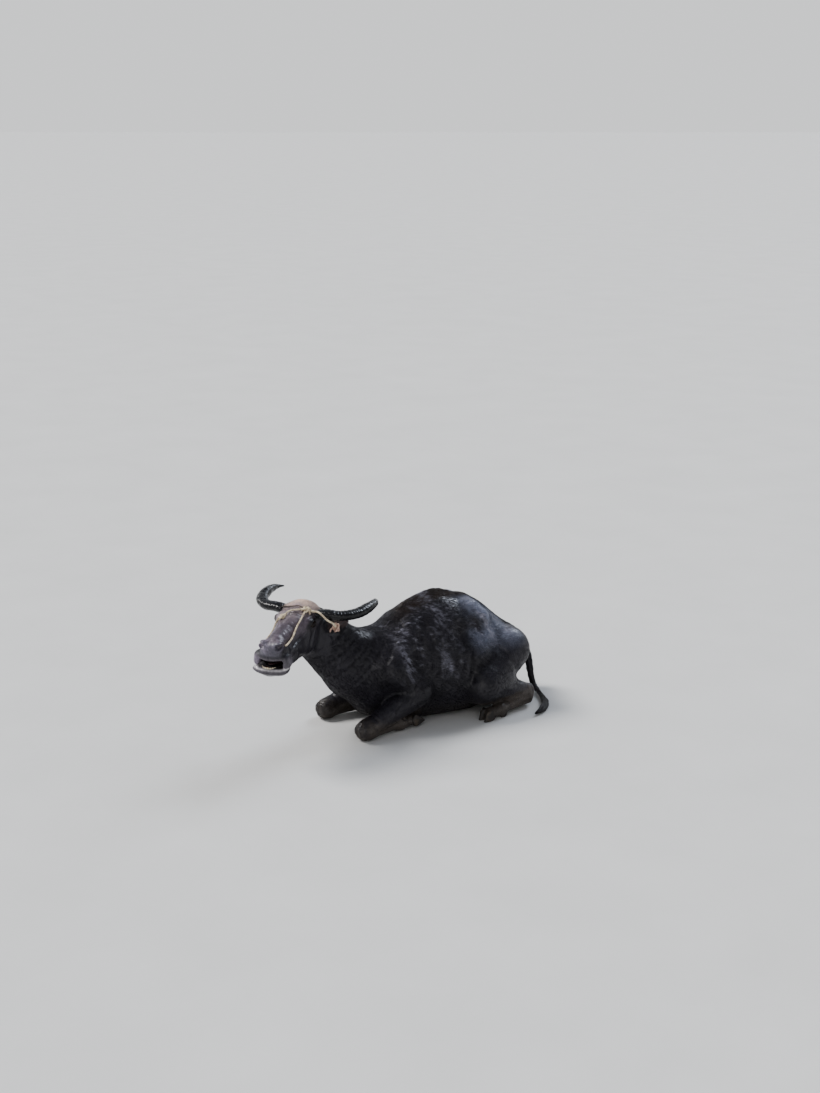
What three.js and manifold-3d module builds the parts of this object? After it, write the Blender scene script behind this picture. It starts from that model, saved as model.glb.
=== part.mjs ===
// Water buffalo resting on its chest with the head raised and the mouth open, life size.
// Millimetres. The animal heads along -Y, its left side is +X and the floor is z = 0.
import * as THREE from 'three';
import { mergeVertices } from 'three/addons/utils/BufferGeometryUtils.js';
import Module from 'manifold-3d';

const wasm = await Module();
wasm.setup();
const { Manifold, Mesh: SolidMesh } = wasm;

// Clearance kept between neighbouring parts
const GAP = 1;

// Where the head is carried and how it is turned: to its left, nose a little low
const HEAD_SCALE = 1.07;
const HEAD_PLACE = new THREE.Vector3(62, -670, 678);
const HEAD_YAW = THREE.MathUtils.degToRad(33.2);
const HEAD_PITCH = THREE.MathUtils.degToRad(-5);
const HEAD_ROLL = THREE.MathUtils.degToRad(-1.8);

// Sections of the torso along its length: top line, underline, half width and widest level
const TORSO = [
  { y: -230, top: 480, bottom: 170, half: 110, mid: 330 },
  { y: -100, top: 540, bottom: 50, half: 175, mid: 310 },
  { y: 30, top: 632, bottom: 0, half: 215, mid: 300 },
  { y: 170, top: 690, bottom: -8, half: 255, mid: 295 },
  { y: 300, top: 709, bottom: -12, half: 292, mid: 285 },
  { y: 430, top: 676, bottom: -12, half: 308, mid: 280 },
  { y: 510, top: 660, bottom: -8, half: 292, mid: 278 },
  { y: 610, top: 590, bottom: -4, half: 250, mid: 268 },
  { y: 700, top: 510, bottom: 6, half: 205, mid: 255 },
  { y: 790, top: 430, bottom: 35, half: 150, mid: 240 },
  { y: 860, top: 355, bottom: 90, half: 95, mid: 228 },
];
const BACK_ROUNDNESS = 1.72;
const BELLY_ROUNDNESS = 2.5;

// Left-side masses of the trunk, mirrored for the right side
const HOOK = { from: [120, 470, 600], to: [165, 515, 552], radii: [52, 50] };
const SHOULDER = { from: [95, 75, 536], to: [150, -95, 350], radii: [55, 88] };
const UPPER_ARM = { from: [150, -95, 340], to: [185, 50, 235], radii: [88, 80] };
const RUMP_MUSCLE = { at: [125, 660, 345], radii: [95, 150, 125] };
const PIN = { at: [88, 850, 342], radius: 42 };
const FLANK_HOLLOW = { at: [285, 385, 520], radii: [85, 110, 85] };
const BRISKET = { at: [0, -150, 235], radii: [130, 130, 180] };
const TAIL_HEAD = { from: [0, 570, 540], to: [0, 830, 372], radii: [46, 36] };

// Neck: crest, core and throat run from the shoulders to the back of the skull
const NECK = {
  crest: { from: [0, -10, 460], by: [-20, -235, 442], to: [-60, -470, 640], radii: [86, 90, 84] },
  core: { from: [0, -60, 400], by: [-15, -260, 430], to: [-50, -470, 600], radii: [150, 140, 108] },
  throat: { from: [0, -130, 290], by: [-5, -290, 335], to: [-10, -500, 540], radii: [145, 132, 96] },
};

// Axis that the trunk, neck and head are sectioned along, and where they part
const BODY_AXIS = [[0, 860, 255], [0, 680, 290], [0, 430, 320], [0, 180, 328], [0, -40, 345],
  [-12, -200, 405], [-38, -370, 535]];
const HEAD_AXIS = [[-150, -8, -30], [-60, 0, -18], [60, 0, -16], [160, 0, -20], [226, 0, -24]];
const HEAD_AXIS_START = [-30, -345, 515];
const TRUNK_END_Y = -125;
const NECK_END_Y = -425;

// Fore leg folded under the chest, and hind leg folded beside the belly (left side)
const FORE = {
  path: {
    elbow: [196, 60, 205], knee: [206, -300, 55],
    wrist: [206, -290, 46], fetlock: [192, -70, 40], pastern: [188, 20, 44],
  },
  radii: { elbow: 84, knee: 52, wrist: 44, fetlock: 40, pastern: 33 },
  toe: [0, 0.82, -0.57], sole: [0, 0.57, 0.82],
};
const HIND = {
  path: {
    hip: [168, 700, 325], stifle: [276, 452, 185], hock: [268, 775, 78],
    wrist: [290, 760, 54], fetlock: [338, 530, 42], pastern: [346, 445, 38],
  },
  radii: { hip: 142, stifle: 100, hock: 52, wrist: 44, fetlock: 41, pastern: 34 },
  axis: [[235, 600, 190], [240, 740, 150]],
  toe: [0.05, -0.97, -0.22], sole: [0.01, 0.22, -0.97],
};
const KNEE_CAP = [52, 58, 57];
const CANNON = { start: 30, end: 31, pasternStart: 34 };
const RIGHT_HIND_TUCK = [-20, 15, 0];

// Claws: side profile and width, two to a foot, with two dewclaws behind the fetlock
const CLAW = {
  length: 88, height: 60, heel: 48, slope: 34, width: 40, edge: 5, apart: 48, ahead: -22, drop: 33,
};
const DEWCLAW = { radius: 14, length: 24, apart: 46, behind: 34 };

// Tail from the tail head down behind and round to the left over the floor
const TAIL_PATH = [[0, 795, 396], [0, 876, 356], [4, 948, 285], [18, 990, 180], [75, 978, 52], [175, 940, 22],
  [280, 895, 19], [375, 835, 19], [436, 758, 20], [468, 680, 18]];
const TAIL_RADII = [38, 33, 28, 23, 19, 16, 15, 24, 21, 4];
const TAIL_PARTINGS = [0.36, 0.72];

// Head, in its own axes before scaling: F forward from between the eyes, L to its left, U up
const SKULL = {
  back: { at: [-108, 0, -4], radii: [108, 100, 92] },
  poll: { at: [-118, -6, 34], radii: [76, 92, 66] },
  forehead: { at: [-24, 0, 6], radii: [106, 96, 76] },
  bridge: { from: [0, 0, 8], to: [190, 0, -6], radii: [72, 52] },
  cheek: { at: [-38, 54, -62], radii: [106, 46, 82] },
  cheekBand: { from: [-10, 48, -80], to: [112, 44, -72], radii: [44, 38] },
  lipBand: { from: [90, 48, -46], to: [180, 48, -48], radii: [38, 36] },
};
const FACE = {
  nose: { at: [226, 0, -18], radii: [60, 67, 50] },
  upperLip: { at: [222, -10, -53], radii: [62, 90, 29] },
  lipLobes: [{ at: [228, 74, -83], radii: [36, 18, 35] }, { at: [234, -84, -82], radii: [36, 18, 35] }],
  lipCorners: [{ from: [130, 66, -94], to: [226, 70, -97], radii: [22, 13] },
    { from: [130, -70, -94], to: [226, -86, -97], radii: [22, 13] }],
  brow: { at: [-18, 79, 45], radii: [40, 30, 24] },
  hornBoss: { at: [-100, 76, 34], radii: [50, 44, 42] },
  nostrilRim: { at: [252, 43, 9], radii: [28, 25, 24] },
  nostril: { at: [272, 45, 6], radii: [18, 12, 11] },
};
const JAW = {
  angle: { at: [-48, 0, -98], radii: [72, 84, 54] },
  branch: { at: [40, 0, -115], radii: [90, 66, 42] },
  chin: { at: [140, -14, -127], radii: [88, 70, 34] },
  chinPad: { at: [198, -20, -146], radii: [56, 58, 28] },
  lip: { at: [230, -26, -132], radii: [52, 88, 27] },
  lipLeft: { at: [206, 40, -128], radii: [44, 34, 27] },
};
const HORN_PATH = [[-92, 66, 42], [-100, 128, 56], [-114, 205, 53], [-190, 266, 46], [-298, 290, 45],
  [-380, 285, 40], [-434, 258, 30]];
const HORN_DEPTH = [38, 34, 31, 31, 29, 22, 3];
const HORN_HEIGHT = [25, 24, 24, 26, 26, 19, 3];
const EAR_PATH = [[-128, 84, -26], [-158, 112, -34], [-204, 140, -42], [-254, 160, -46], [-304, 172, -46]];
const EAR_FACING = [0.35, 0.9, 0.25];
const EAR_WIDTH = [22, 40, 46, 35, 6];
const EAR_THICKNESS = [15, 9, 8, 7, 4];
const EAR_DISH = 10;
const EYE = { at: [-24, 92, 28], radius: 21 };
const JAW_AXIS = [[-70, 0, -100], [60, 0, -118], [230, -22, -134]];
const TONGUE_PATH = [[70, -2, -112], [130, -8, -111], [190, -16, -108], [236, -21, -101]];
const TONGUE_WIDTH = [30, 34, 30, 12];
const TONGUE_HEIGHT = [10, 12, 10, 5];
const MOUTH_HOLLOW = { at: [176, -13, -98], radii: [100, 66, 30] };
const INCISORS = { count: 8, arcRadius: 38, centre: [223, -22, -112], size: [12, 6, 18], sweep: 1.1 };

// Halter rope. A pair is a place on the face: forward distance and degrees round from the top,
// positive to the left. Three numbers are a free place in head axes.
const ROPE = { radius: 6, lift: 9.5, sides: 6, step: 29 };
const ROPE_RUNS = {
  face_strand_left: [[-50, 26], [-10, 29], [40, 35], [80, 42], [140, 62], [196, 70], [230, 67]],
  face_strand_right: [[46, -20], [60, -40], [90, -66], [130, -84], [180, -86], [224, -72]],
  brow_band: [[-50, 18], [-26, 10], [-8, 0], [8, -9], [28, -14], [46, -20]],
  poll_band: [[-50, 24], [-60, 6], [-54, -12], [-62, -28], [-76, -46]],
  cheek_strand: [[-50, 24], [-66, 38], [-71, 106, 74], [-62, 136, 62], [-60, 162, 42], [-98, 172, 14],
    [-132, 176, -22]],
};
const KNOTS = {
  forehead: { at: [-50, 24], radii: [26, 24, 17] },
  brow: { at: [46, -20], radii: [20, 15, 13] },
  cheek: { at: [-132, 176, -22], radii: [20, 22, 26] },
};
const KNOT_SINK = 0.7;

// Mesh density of each kind of part: facets around and rings along
const TRUNK_FACETS = { around: 24, along: 15 };
const NECK_FACETS = { around: 22, along: 6 };
const HEAD_FACETS = { around: 22, along: 18 };
const JAW_FACETS = { around: 12, along: 8 };
const LIMB_FACETS = { around: 12, along: 8 };
const SHANK_FACETS = { around: 8, along: 8 };
const HORN_FACETS = { around: 10, along: 11 };
const EAR_FACETS = { around: 8, along: 8 };
const EYE_FACETS = { around: 12, along: 6 };
const TAIL_FACETS = { around: 8, along: 7 };

const UPRIGHT = new THREE.Vector3(0, 0, 1);
const vec = (point) => new THREE.Vector3(...point);
const mix = (a, b, t) => a + (b - a) * t;
const mirrored = (point) => [-point[0], point[1], point[2]];

// Axes of the head in the world
const headForward = new THREE.Vector3(Math.sin(HEAD_YAW), -Math.cos(HEAD_YAW), 0)
  .multiplyScalar(Math.cos(HEAD_PITCH)).setZ(Math.sin(HEAD_PITCH));
const levelLeft = new THREE.Vector3(Math.cos(HEAD_YAW), Math.sin(HEAD_YAW), 0);
const levelUp = headForward.clone().cross(levelLeft);
const headLeft = levelLeft.clone().multiplyScalar(Math.cos(HEAD_ROLL))
  .addScaledVector(levelUp, Math.sin(HEAD_ROLL));
const headUp = headForward.clone().cross(headLeft);

/** World place of a point given in head axes. */
function fromHead([forward, left, up]) {
  return HEAD_PLACE.clone()
    .addScaledVector(headForward, forward * HEAD_SCALE)
    .addScaledVector(headLeft, left * HEAD_SCALE)
    .addScaledVector(headUp, up * HEAD_SCALE);
}

/** Head axes of a world point. */
function toHead(point) {
  const offset = point.clone().sub(HEAD_PLACE).divideScalar(HEAD_SCALE);
  return new THREE.Vector3(offset.dot(headForward), offset.dot(headLeft), offset.dot(headUp));
}

// Clay: each mass is a function of a point that is negative inside and close to a distance

/** Ellipsoid of clay. */
function ellipsoid(at, radii) {
  const centre = vec(at);
  return (point) => {
    const x = (point.x - centre.x) / radii[0];
    const y = (point.y - centre.y) / radii[1];
    const z = (point.z - centre.z) / radii[2];
    const scaled = Math.hypot(x, y, z);
    const slope = Math.hypot(x / radii[0], y / radii[1], z / radii[2]);
    return slope < 1e-9 ? -Math.min(...radii) : scaled * (scaled - 1) / slope;
  };
}

/** Round-ended cone of clay between two points. */
function cone(from, to, fromRadius, toRadius) {
  const start = vec(from);
  const span = vec(to).sub(start);
  const lengthSquared = span.lengthSq();
  const offset = new THREE.Vector3();
  return (point) => {
    offset.subVectors(point, start);
    const along = THREE.MathUtils.clamp(offset.dot(span) / lengthSquared, 0, 1);
    return offset.addScaledVector(span, -along).length() - mix(fromRadius, toRadius, along);
  };
}

/** Two cones of clay through three points. */
function bentCone({ from, by, to, radii }) {
  return blend(30, cone(from, by, radii[0], radii[1]), cone(by, to, radii[1], radii[2]));
}

/** Union of clay masses with a fillet of the given size. */
function blend(fillet, ...masses) {
  return (point) => masses.reduce((total, mass) => {
    const value = mass(point);
    const overlap = Math.max(fillet - Math.abs(total - value), 0) / fillet;
    return Math.min(total, value) - overlap * overlap * fillet / 4;
  }, 1e4);
}

/** Clay with another mass pressed out of it. */
function hollow(fillet, mass, ...presses) {
  return (point) => presses.reduce((total, press) => {
    const value = -press(point);
    const overlap = Math.max(fillet - Math.abs(total - value), 0) / fillet;
    return Math.max(total, value) + overlap * overlap * fillet / 4;
  }, mass(point));
}

/** The same mass on both sides of the middle plane. */
const both = (make) => [make((point) => point), make(mirrored)];

/** One torso measure at a place along the body, on a smooth line through the sections. */
function torsoMeasure(measure, y) {
  const last = TORSO.length - 1;
  let index = 0;
  while (index < last - 1 && y > TORSO[index + 1].y) {
    index += 1;
  }
  const before = TORSO[Math.max(index - 1, 0)];
  const start = TORSO[index];
  const end = TORSO[index + 1];
  const after = TORSO[Math.min(index + 2, last)];
  const span = end.y - start.y;
  const t = THREE.MathUtils.clamp((y - start.y) / span, 0, 1);
  const startSlope = (end[measure] - before[measure]) / (end.y - before.y || 1) * span;
  const endSlope = (after[measure] - start[measure]) / (after.y - start.y) * span;
  return (2 * t ** 3 - 3 * t ** 2 + 1) * start[measure] + (t ** 3 - 2 * t ** 2 + t) * startSlope
    + (3 * t ** 2 - 2 * t ** 3) * end[measure] + (t ** 3 - t ** 2) * endSlope;
}

/** Clay of the torso: roof-shaped above its widest level and full below. */
function torso(point) {
  const half = torsoMeasure('half', point.y);
  const mid = torsoMeasure('mid', point.y);
  const above = point.z > mid;
  const height = above ? torsoMeasure('top', point.y) - mid : mid - torsoMeasure('bottom', point.y);
  const power = above ? BACK_ROUNDNESS : BELLY_ROUNDNESS;
  const wide = Math.abs(point.x / half) ** power;
  const high = Math.abs((point.z - mid) / height) ** power;
  const norm = (wide + high) ** (1 / power);
  const beyond = Math.max(TORSO[0].y - point.y, point.y - TORSO.at(-1).y, 0);
  const girth = Math.min(half, height);
  const across = (norm - 1) * girth;
  return beyond > 0 ? Math.hypot(Math.max(across + girth, 0), beyond) - girth : across;
}

const sideCone = ({ from, to, radii }) => both((place) => cone(place(from), place(to), radii[0], radii[1]));
const sideEllipsoid = ({ at, radii }) => both((place) => ellipsoid(place(at), radii));
const sideBall = ({ at, radius }) => both((place) => ellipsoid(place(at), [radius, radius, radius]));

const trunkClay = hollow(60,
  blend(55, torso, ellipsoid(BRISKET.at, BRISKET.radii), ...sideCone(SHOULDER), ...sideCone(UPPER_ARM),
    ...sideEllipsoid(RUMP_MUSCLE), ...sideCone(HOOK), ...sideBall(PIN),
    cone(TAIL_HEAD.from, TAIL_HEAD.to, ...TAIL_HEAD.radii)),
  ...sideEllipsoid(FLANK_HOLLOW));

const neckClay = blend(60, ...Object.values(NECK).map(bentCone));

/** Clay of one entry of a head table, on the wanted side. */
function headMass({ at, from, to, radii }, side = 1) {
  const across = ([forward, left, up]) => [forward, side * left, up];
  return at ? ellipsoid(across(at), radii) : cone(across(from), across(to), ...radii);
}

/** The same entry on the left and the right. */
const paired = (entry) => [headMass(entry, 1), headMass(entry, -1)];

const skullClay = blend(34,
  headMass(SKULL.back), headMass(SKULL.poll), headMass(SKULL.forehead), headMass(SKULL.bridge),
  ...paired(SKULL.cheek), ...paired(SKULL.cheekBand), ...paired(SKULL.lipBand));
const headClayLocal = blend(20,
  skullClay, headMass(FACE.nose), headMass(FACE.upperLip), ...FACE.lipLobes.map((lobe) => headMass(lobe)),
  ...FACE.lipCorners.map((corner) => headMass(corner)),
  ...paired(FACE.brow), ...paired(FACE.hornBoss), ...paired(FACE.nostrilRim));
const headLocal = hollow(8, headClayLocal, ...paired(FACE.nostril));
const headClay = (point) => headLocal(toHead(point)) * HEAD_SCALE;

const jawLocal = blend(26, ...Object.values(JAW).map((entry) => headMass(entry)));
const jawClay = (point) => jawLocal(toHead(point)) * HEAD_SCALE;

const wholeClay = blend(55, blend(70, trunkClay, neckClay), headClay);

// Surfaces

/** Smooth curve through world points. */
function curveThrough(points) {
  return new THREE.CatmullRomCurve3(points, false, 'centripetal');
}

/** Distance along a ray at which it first leaves the clay. */
function leavesClay(clay, origin, direction, reach) {
  const STEP = 9;
  const probe = new THREE.Vector3();
  const value = (distance) => clay(probe.copy(origin).addScaledVector(direction, distance));
  let outside = STEP;
  while (outside < reach && value(outside) < 0) {
    outside += STEP;
  }
  let inside = outside - STEP;
  for (let pass = 0; pass < 12; pass += 1) {
    const middle = (inside + outside) / 2;
    if (value(middle) < 0) {
      inside = middle;
    } else {
      outside = middle;
    }
  }
  return inside;
}

/** Closed surface from rows of points: the first and last rows are single points. */
function closedSurface(rowPoint, around, rows) {
  const geometry = new THREE.SphereGeometry(1, around, rows);
  geometry.deleteAttribute('normal');
  geometry.deleteAttribute('uv');
  const position = geometry.attributes.position;
  for (let row = 0; row <= rows; row += 1) {
    for (let column = 0; column <= around; column += 1) {
      const turn = (column % around) / around * 2 * Math.PI;
      position.setXYZ(row * (around + 1) + column, ...rowPoint(row, turn).toArray());
    }
  }
  return mergeVertices(geometry, 1e-3);
}

/** Section across a curve: its centre, the way it faces, and the two directions across. */
function sectionAt(curve, t, upright, facing) {
  const centre = curve.getPointAt(t);
  const ahead = facing ? facing.clone() : curve.getTangentAt(t);
  const first = upright.clone().addScaledVector(ahead, -upright.dot(ahead)).normalize();
  return { centre, ahead, first, second: first.clone().cross(ahead) };
}

/** Row places along a cast body: flat ends stay in their plane, round ends fan over the tip. */
function rowPlaces(from, to, along, roundStart, roundEnd) {
  const FAN = [66, 33].map(THREE.MathUtils.degToRad);
  const start = roundStart ? FAN.map((lean) => ({ t: from, lean: -lean })) : [];
  const end = roundEnd ? FAN.toReversed().map((lean) => ({ t: to, lean })) : [];
  const middle = Array.from({ length: along },
    (_, index) => ({ t: mix(from, to, index / (along - 1)), lean: 0 }));
  return [...start, ...middle, ...end];
}

/** Body whose surface is where rays from an axis leave the clay, fattened by a margin. */
function castBody(clay, curve, { around, along }, options = {}) {
  const { from = 0, to = 1, roundStart = false, roundEnd = false, margin = 0 } = options;
  const { upright = UPRIGHT, facing = null, reach = 600 } = options;
  const places = rowPlaces(from, to, along, roundStart, roundEnd);
  const rows = places.length + 1;
  const sections = places.map(({ t }) => sectionAt(curve, t, upright, facing));
  const tip = (section, round, way) => {
    const direction = section.ahead.clone().multiplyScalar(way);
    const distance = round ? leavesClay(clay, section.centre, direction, reach) + margin : 0;
    return section.centre.clone().addScaledVector(direction, distance);
  };
  const firstTip = tip(sections[0], roundStart, -1);
  const lastTip = tip(sections.at(-1), roundEnd, 1);
  return closedSurface((row, turn) => {
    if (row === 0) {
      return firstTip.clone();
    }
    if (row === rows) {
      return lastTip.clone();
    }
    const { centre, ahead, first, second } = sections[row - 1];
    const lean = places[row - 1].lean;
    const direction = first.clone().multiplyScalar(Math.cos(turn) * Math.cos(lean))
      .addScaledVector(second, Math.sin(turn) * Math.cos(lean))
      .addScaledVector(ahead, Math.sin(lean));
    return centre.clone().addScaledVector(direction, leavesClay(clay, centre, direction, reach) + margin);
  }, around, rows);
}

/** Value of a list of numbers spread evenly over 0 to 1. */
function spread(values, t) {
  const place = THREE.MathUtils.clamp(t, 0, 1) * (values.length - 1);
  const index = Math.min(Math.floor(place), values.length - 2);
  return mix(values[index], values[index + 1], place - index);
}

/** Tapered body along a path with oval sections, the middle of each pushed by a dish depth. */
function ovalBody(points, widths, heights, { around, along }, options = {}) {
  const { from = 0, to = 1, upright = UPRIGHT, dish = 0, margin = 0 } = options;
  const curve = curveThrough(points);
  const rows = along + 1;
  return closedSurface((row, turn) => {
    const step = THREE.MathUtils.clamp((row - 1) / (along - 1), 0, 1);
    const t = mix(from, to, step);
    const { centre, first, second } = sectionAt(curve, t, upright);
    if (row === 0 || row === rows) {
      return centre;
    }
    const across = Math.sin(turn) * (spread(widths, t) + margin);
    const above = Math.cos(turn) * (spread(heights, t) + margin) - dish * (Math.sin(turn) ** 2 - 0.5);
    return centre.addScaledVector(first, above).addScaledVector(second, across);
  }, around, rows);
}

// Solids

/** Solid with the shape of a closed geometry. */
function solidOf(geometry) {
  const plain = geometry.clone();
  plain.deleteAttribute('normal');
  plain.deleteAttribute('uv');
  const merged = mergeVertices(plain, 1e-3);
  return new Manifold(new SolidMesh({
    numProp: 3,
    vertProperties: Float32Array.from(merged.attributes.position.array),
    triVerts: Uint32Array.from(merged.index.array),
  }));
}

/** The largest separate piece of a solid. */
function largestPiece(solid) {
  return solid.decompose().reduce((best, piece) => (piece.volume() > best.volume() ? piece : best));
}

/** What is left of a solid once other solids are taken out of it. */
function cutBy(solid, ...cutters) {
  return largestPiece(cutters.reduce((left, cutter) => left.subtract(cutter), solid));
}

/** Ellipsoid solid in the world. */
function ellipsoidSolid(centre, radii, around = 14, along = 9) {
  const geometry = new THREE.SphereGeometry(1, around, along);
  geometry.scale(...radii);
  geometry.translate(centre.x, centre.y, centre.z);
  return solidOf(geometry);
}

/** Slab across a curve between two distances from a section. */
function slabAt({ centre, ahead, first, second }, from, to) {
  const SLAB_WIDTH = 900;
  const slab = new THREE.BoxGeometry(SLAB_WIDTH, SLAB_WIDTH, to - from);
  slab.translate(0, 0, (from + to) / 2);
  slab.applyMatrix4(new THREE.Matrix4().makeBasis(second, first, ahead).setPosition(centre));
  return solidOf(slab);
}

const FLOOR_BLOCK = 4000;
const floorBlock = solidOf(new THREE.BoxGeometry(FLOOR_BLOCK, FLOOR_BLOCK, FLOOR_BLOCK)
  .translate(0, 0, -FLOOR_BLOCK / 2));

const MATERIALS = {
  hide: { color: 0x2b282c, roughness: 0.5 },
  horn: { color: 0x17171a, roughness: 0.3 },
  hoof: { color: 0x2a2622, roughness: 0.6 },
  eye: { color: 0x0a0807, roughness: 0.08 },
  tongue: { color: 0x8f7378, roughness: 0.4 },
  tooth: { color: 0xd9d0ba, roughness: 0.35 },
  rope: { color: 0xb5a58c, roughness: 0.9 },
  tailHair: { color: 0x1c1917, roughness: 0.85 },
};

const buffalo = new THREE.Group();

/** Puts a solid, cut level with the floor, into the model under a name. */
function addPart(name, solid, finish) {
  const { vertProperties, triVerts } = cutBy(solid, floorBlock).getMesh();
  const geometry = new THREE.BufferGeometry();
  geometry.setAttribute('position', new THREE.BufferAttribute(Float32Array.from(vertProperties), 3));
  geometry.setIndex([...triVerts]);
  geometry.computeVertexNormals();
  const material = new THREE.MeshStandardMaterial({ metalness: 0, ...MATERIALS[finish] });
  const mesh = new THREE.Mesh(geometry, material);
  mesh.name = name;
  buffalo.add(mesh);
}

// Trunk, neck and head share one axis and one clay, so their outlines run on

const bodyCurve = curveThrough([...BODY_AXIS.map(vec), ...HEAD_AXIS.map(fromHead)]);
bodyCurve.arcLengthDivisions = 800;

/** Place along the body's axis at which it passes a level of y, going forward. */
function placeAtY(level) {
  let place = 0;
  while (bodyCurve.getPointAt(place).y > level) {
    place += 0.001;
  }
  return place;
}

const trunkEnd = placeAtY(TRUNK_END_Y);
const neckEnd = placeAtY(NECK_END_Y);
const trunkShape = (margin) => solidOf(castBody(wholeClay, bodyCurve, TRUNK_FACETS,
  { to: trunkEnd, roundStart: true, margin }));
const neckShape = (margin) => solidOf(castBody(wholeClay, bodyCurve, NECK_FACETS,
  { from: trunkEnd, to: neckEnd, margin }));
const headCurve = curveThrough([vec(HEAD_AXIS_START), ...HEAD_AXIS.map(fromHead)]);
const headShape = (margin) => solidOf(castBody(wholeClay, headCurve, HEAD_FACETS,
  { roundEnd: true, upright: headUp, facing: headForward, margin, reach: 400 }));

// Slabs that keep each part on its own side of the two partings
const PARTING_REACH = 260;
const aheadOf = (place) => slabAt(sectionAt(bodyCurve, place, UPRIGHT), 0, PARTING_REACH);
const behind = (place) => slabAt(sectionAt(bodyCurve, place, UPRIGHT), -PARTING_REACH, GAP);

const grownTrunk = trunkShape(GAP);
const grownNeck = neckShape(GAP);
const grownHead = headShape(GAP);

const headRadii = (radii) => radii.map((radius) => radius * HEAD_SCALE);
const eyeSolid = (side, margin) => ellipsoidSolid(fromHead([EYE.at[0], side * EYE.at[1], EYE.at[2]]),
  Array(3).fill(EYE.radius * HEAD_SCALE + margin), EYE_FACETS.around, EYE_FACETS.along);

addPart('trunk', cutBy(trunkShape(0), aheadOf(trunkEnd)), 'hide');
addPart('neck', cutBy(neckShape(0), behind(trunkEnd), aheadOf(neckEnd)), 'hide');
addPart('head', cutBy(headShape(0), behind(neckEnd), eyeSolid(1, GAP), eyeSolid(-1, GAP)), 'hide');

// Lower jaw with the floor of the mouth, tongue and lower front teeth

const jawCurve = new THREE.CatmullRomCurve3(JAW_AXIS.map(fromHead));
const jawShape = (margin) => solidOf(castBody(jawClay, jawCurve, JAW_FACETS,
  { roundStart: true, roundEnd: true, upright: headUp, margin, reach: 200 }));

/** Flattened ball in head axes, turned with the head. */
function headBall({ at, radii }, margin = 0, around = 14, along = 7) {
  const geometry = new THREE.SphereGeometry(1, around, along);
  geometry.scale(...headRadii(radii).map((radius) => radius + margin));
  geometry.applyMatrix4(new THREE.Matrix4().makeBasis(headForward, headLeft, headUp));
  const centre = fromHead(at);
  geometry.translate(centre.x, centre.y, centre.z);
  return solidOf(geometry);
}

const tongueShape = (margin) => solidOf(ovalBody(TONGUE_PATH.map(fromHead), headRadii(TONGUE_WIDTH),
  headRadii(TONGUE_HEIGHT), { around: 10, along: 7 }, { upright: headUp, margin }));

/** Row of front teeth standing along an arc inside the lower lip. */
function incisorRow() {
  const [width, depth, height] = headRadii(INCISORS.size);
  const basis = new THREE.Matrix4().makeBasis(headForward, headLeft, headUp);
  const teeth = Array.from({ length: INCISORS.count }, (_, index) => {
    const angle = mix(-INCISORS.sweep, INCISORS.sweep, index / (INCISORS.count - 1));
    const tooth = new THREE.BoxGeometry(depth, width, height);
    tooth.rotateZ(angle);
    tooth.applyMatrix4(basis);
    const [forward, left, up] = INCISORS.centre;
    const root = fromHead([forward + INCISORS.arcRadius * Math.cos(angle),
      left + INCISORS.arcRadius * Math.sin(angle), up]);
    tooth.translate(root.x, root.y, root.z);
    return solidOf(tooth);
  });
  return teeth.reduce((row, tooth) => row.add(tooth));
}

const jaw = cutBy(jawShape(0), grownHead, grownNeck, headBall(MOUTH_HOLLOW));
const grownJaw = jawShape(GAP).subtract(headBall(MOUTH_HOLLOW, -GAP));
const tongue = cutBy(tongueShape(0), grownHead, grownJaw);
addPart('lower_jaw', jaw, 'hide');
addPart('tongue', tongue, 'tongue');
addPart('lower_teeth', cutBy(incisorRow(), grownJaw, grownHead, tongueShape(GAP)), 'tooth');

// Horns, ears and eyes, left then right

const grownHeadgear = [];
for (const [sideName, side] of [['left', 1], ['right', -1]]) {
  const place = ([forward, left, up]) => fromHead([forward, side * left, up]);
  const hornShape = (margin) => solidOf(ovalBody(HORN_PATH.map(place), headRadii(HORN_DEPTH),
    headRadii(HORN_HEIGHT), HORN_FACETS, { upright: headUp, margin }));
  const earFacing = place(EAR_FACING).sub(HEAD_PLACE).normalize();
  const earShape = (margin) => solidOf(ovalBody(EAR_PATH.map(place), headRadii(EAR_WIDTH),
    headRadii(EAR_THICKNESS), EAR_FACETS, { upright: earFacing, dish: EAR_DISH, margin }));
  grownHeadgear.push(hornShape(GAP), earShape(GAP));
  addPart(`horn_${sideName}`, cutBy(hornShape(0), grownHead, grownNeck), 'horn');
  addPart(`ear_${sideName}`, cutBy(earShape(0), grownHead, grownNeck, hornShape(GAP)), 'hide');
  addPart(`eye_${sideName}`, eyeSolid(side, 0), 'eye');
}

// Legs, each in an upper and a lower length with two claws and two dewclaws

/** Upright wedge of a claw: toe towards +X, sole at the bottom. */
function clawShape() {
  const { length, height, heel, slope, width, edge } = CLAW;
  const outline = new THREE.Shape();
  outline.moveTo(edge, 0);
  outline.lineTo(length - edge, 0);
  outline.lineTo(length, edge);
  outline.lineTo(length - slope, height);
  outline.lineTo(0, heel);
  outline.lineTo(0, edge);
  const geometry = new THREE.ExtrudeGeometry(outline, { depth: width, steps: 1, bevelEnabled: false });
  geometry.translate(-length / 2, 0, -width / 2);
  return geometry;
}

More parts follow.
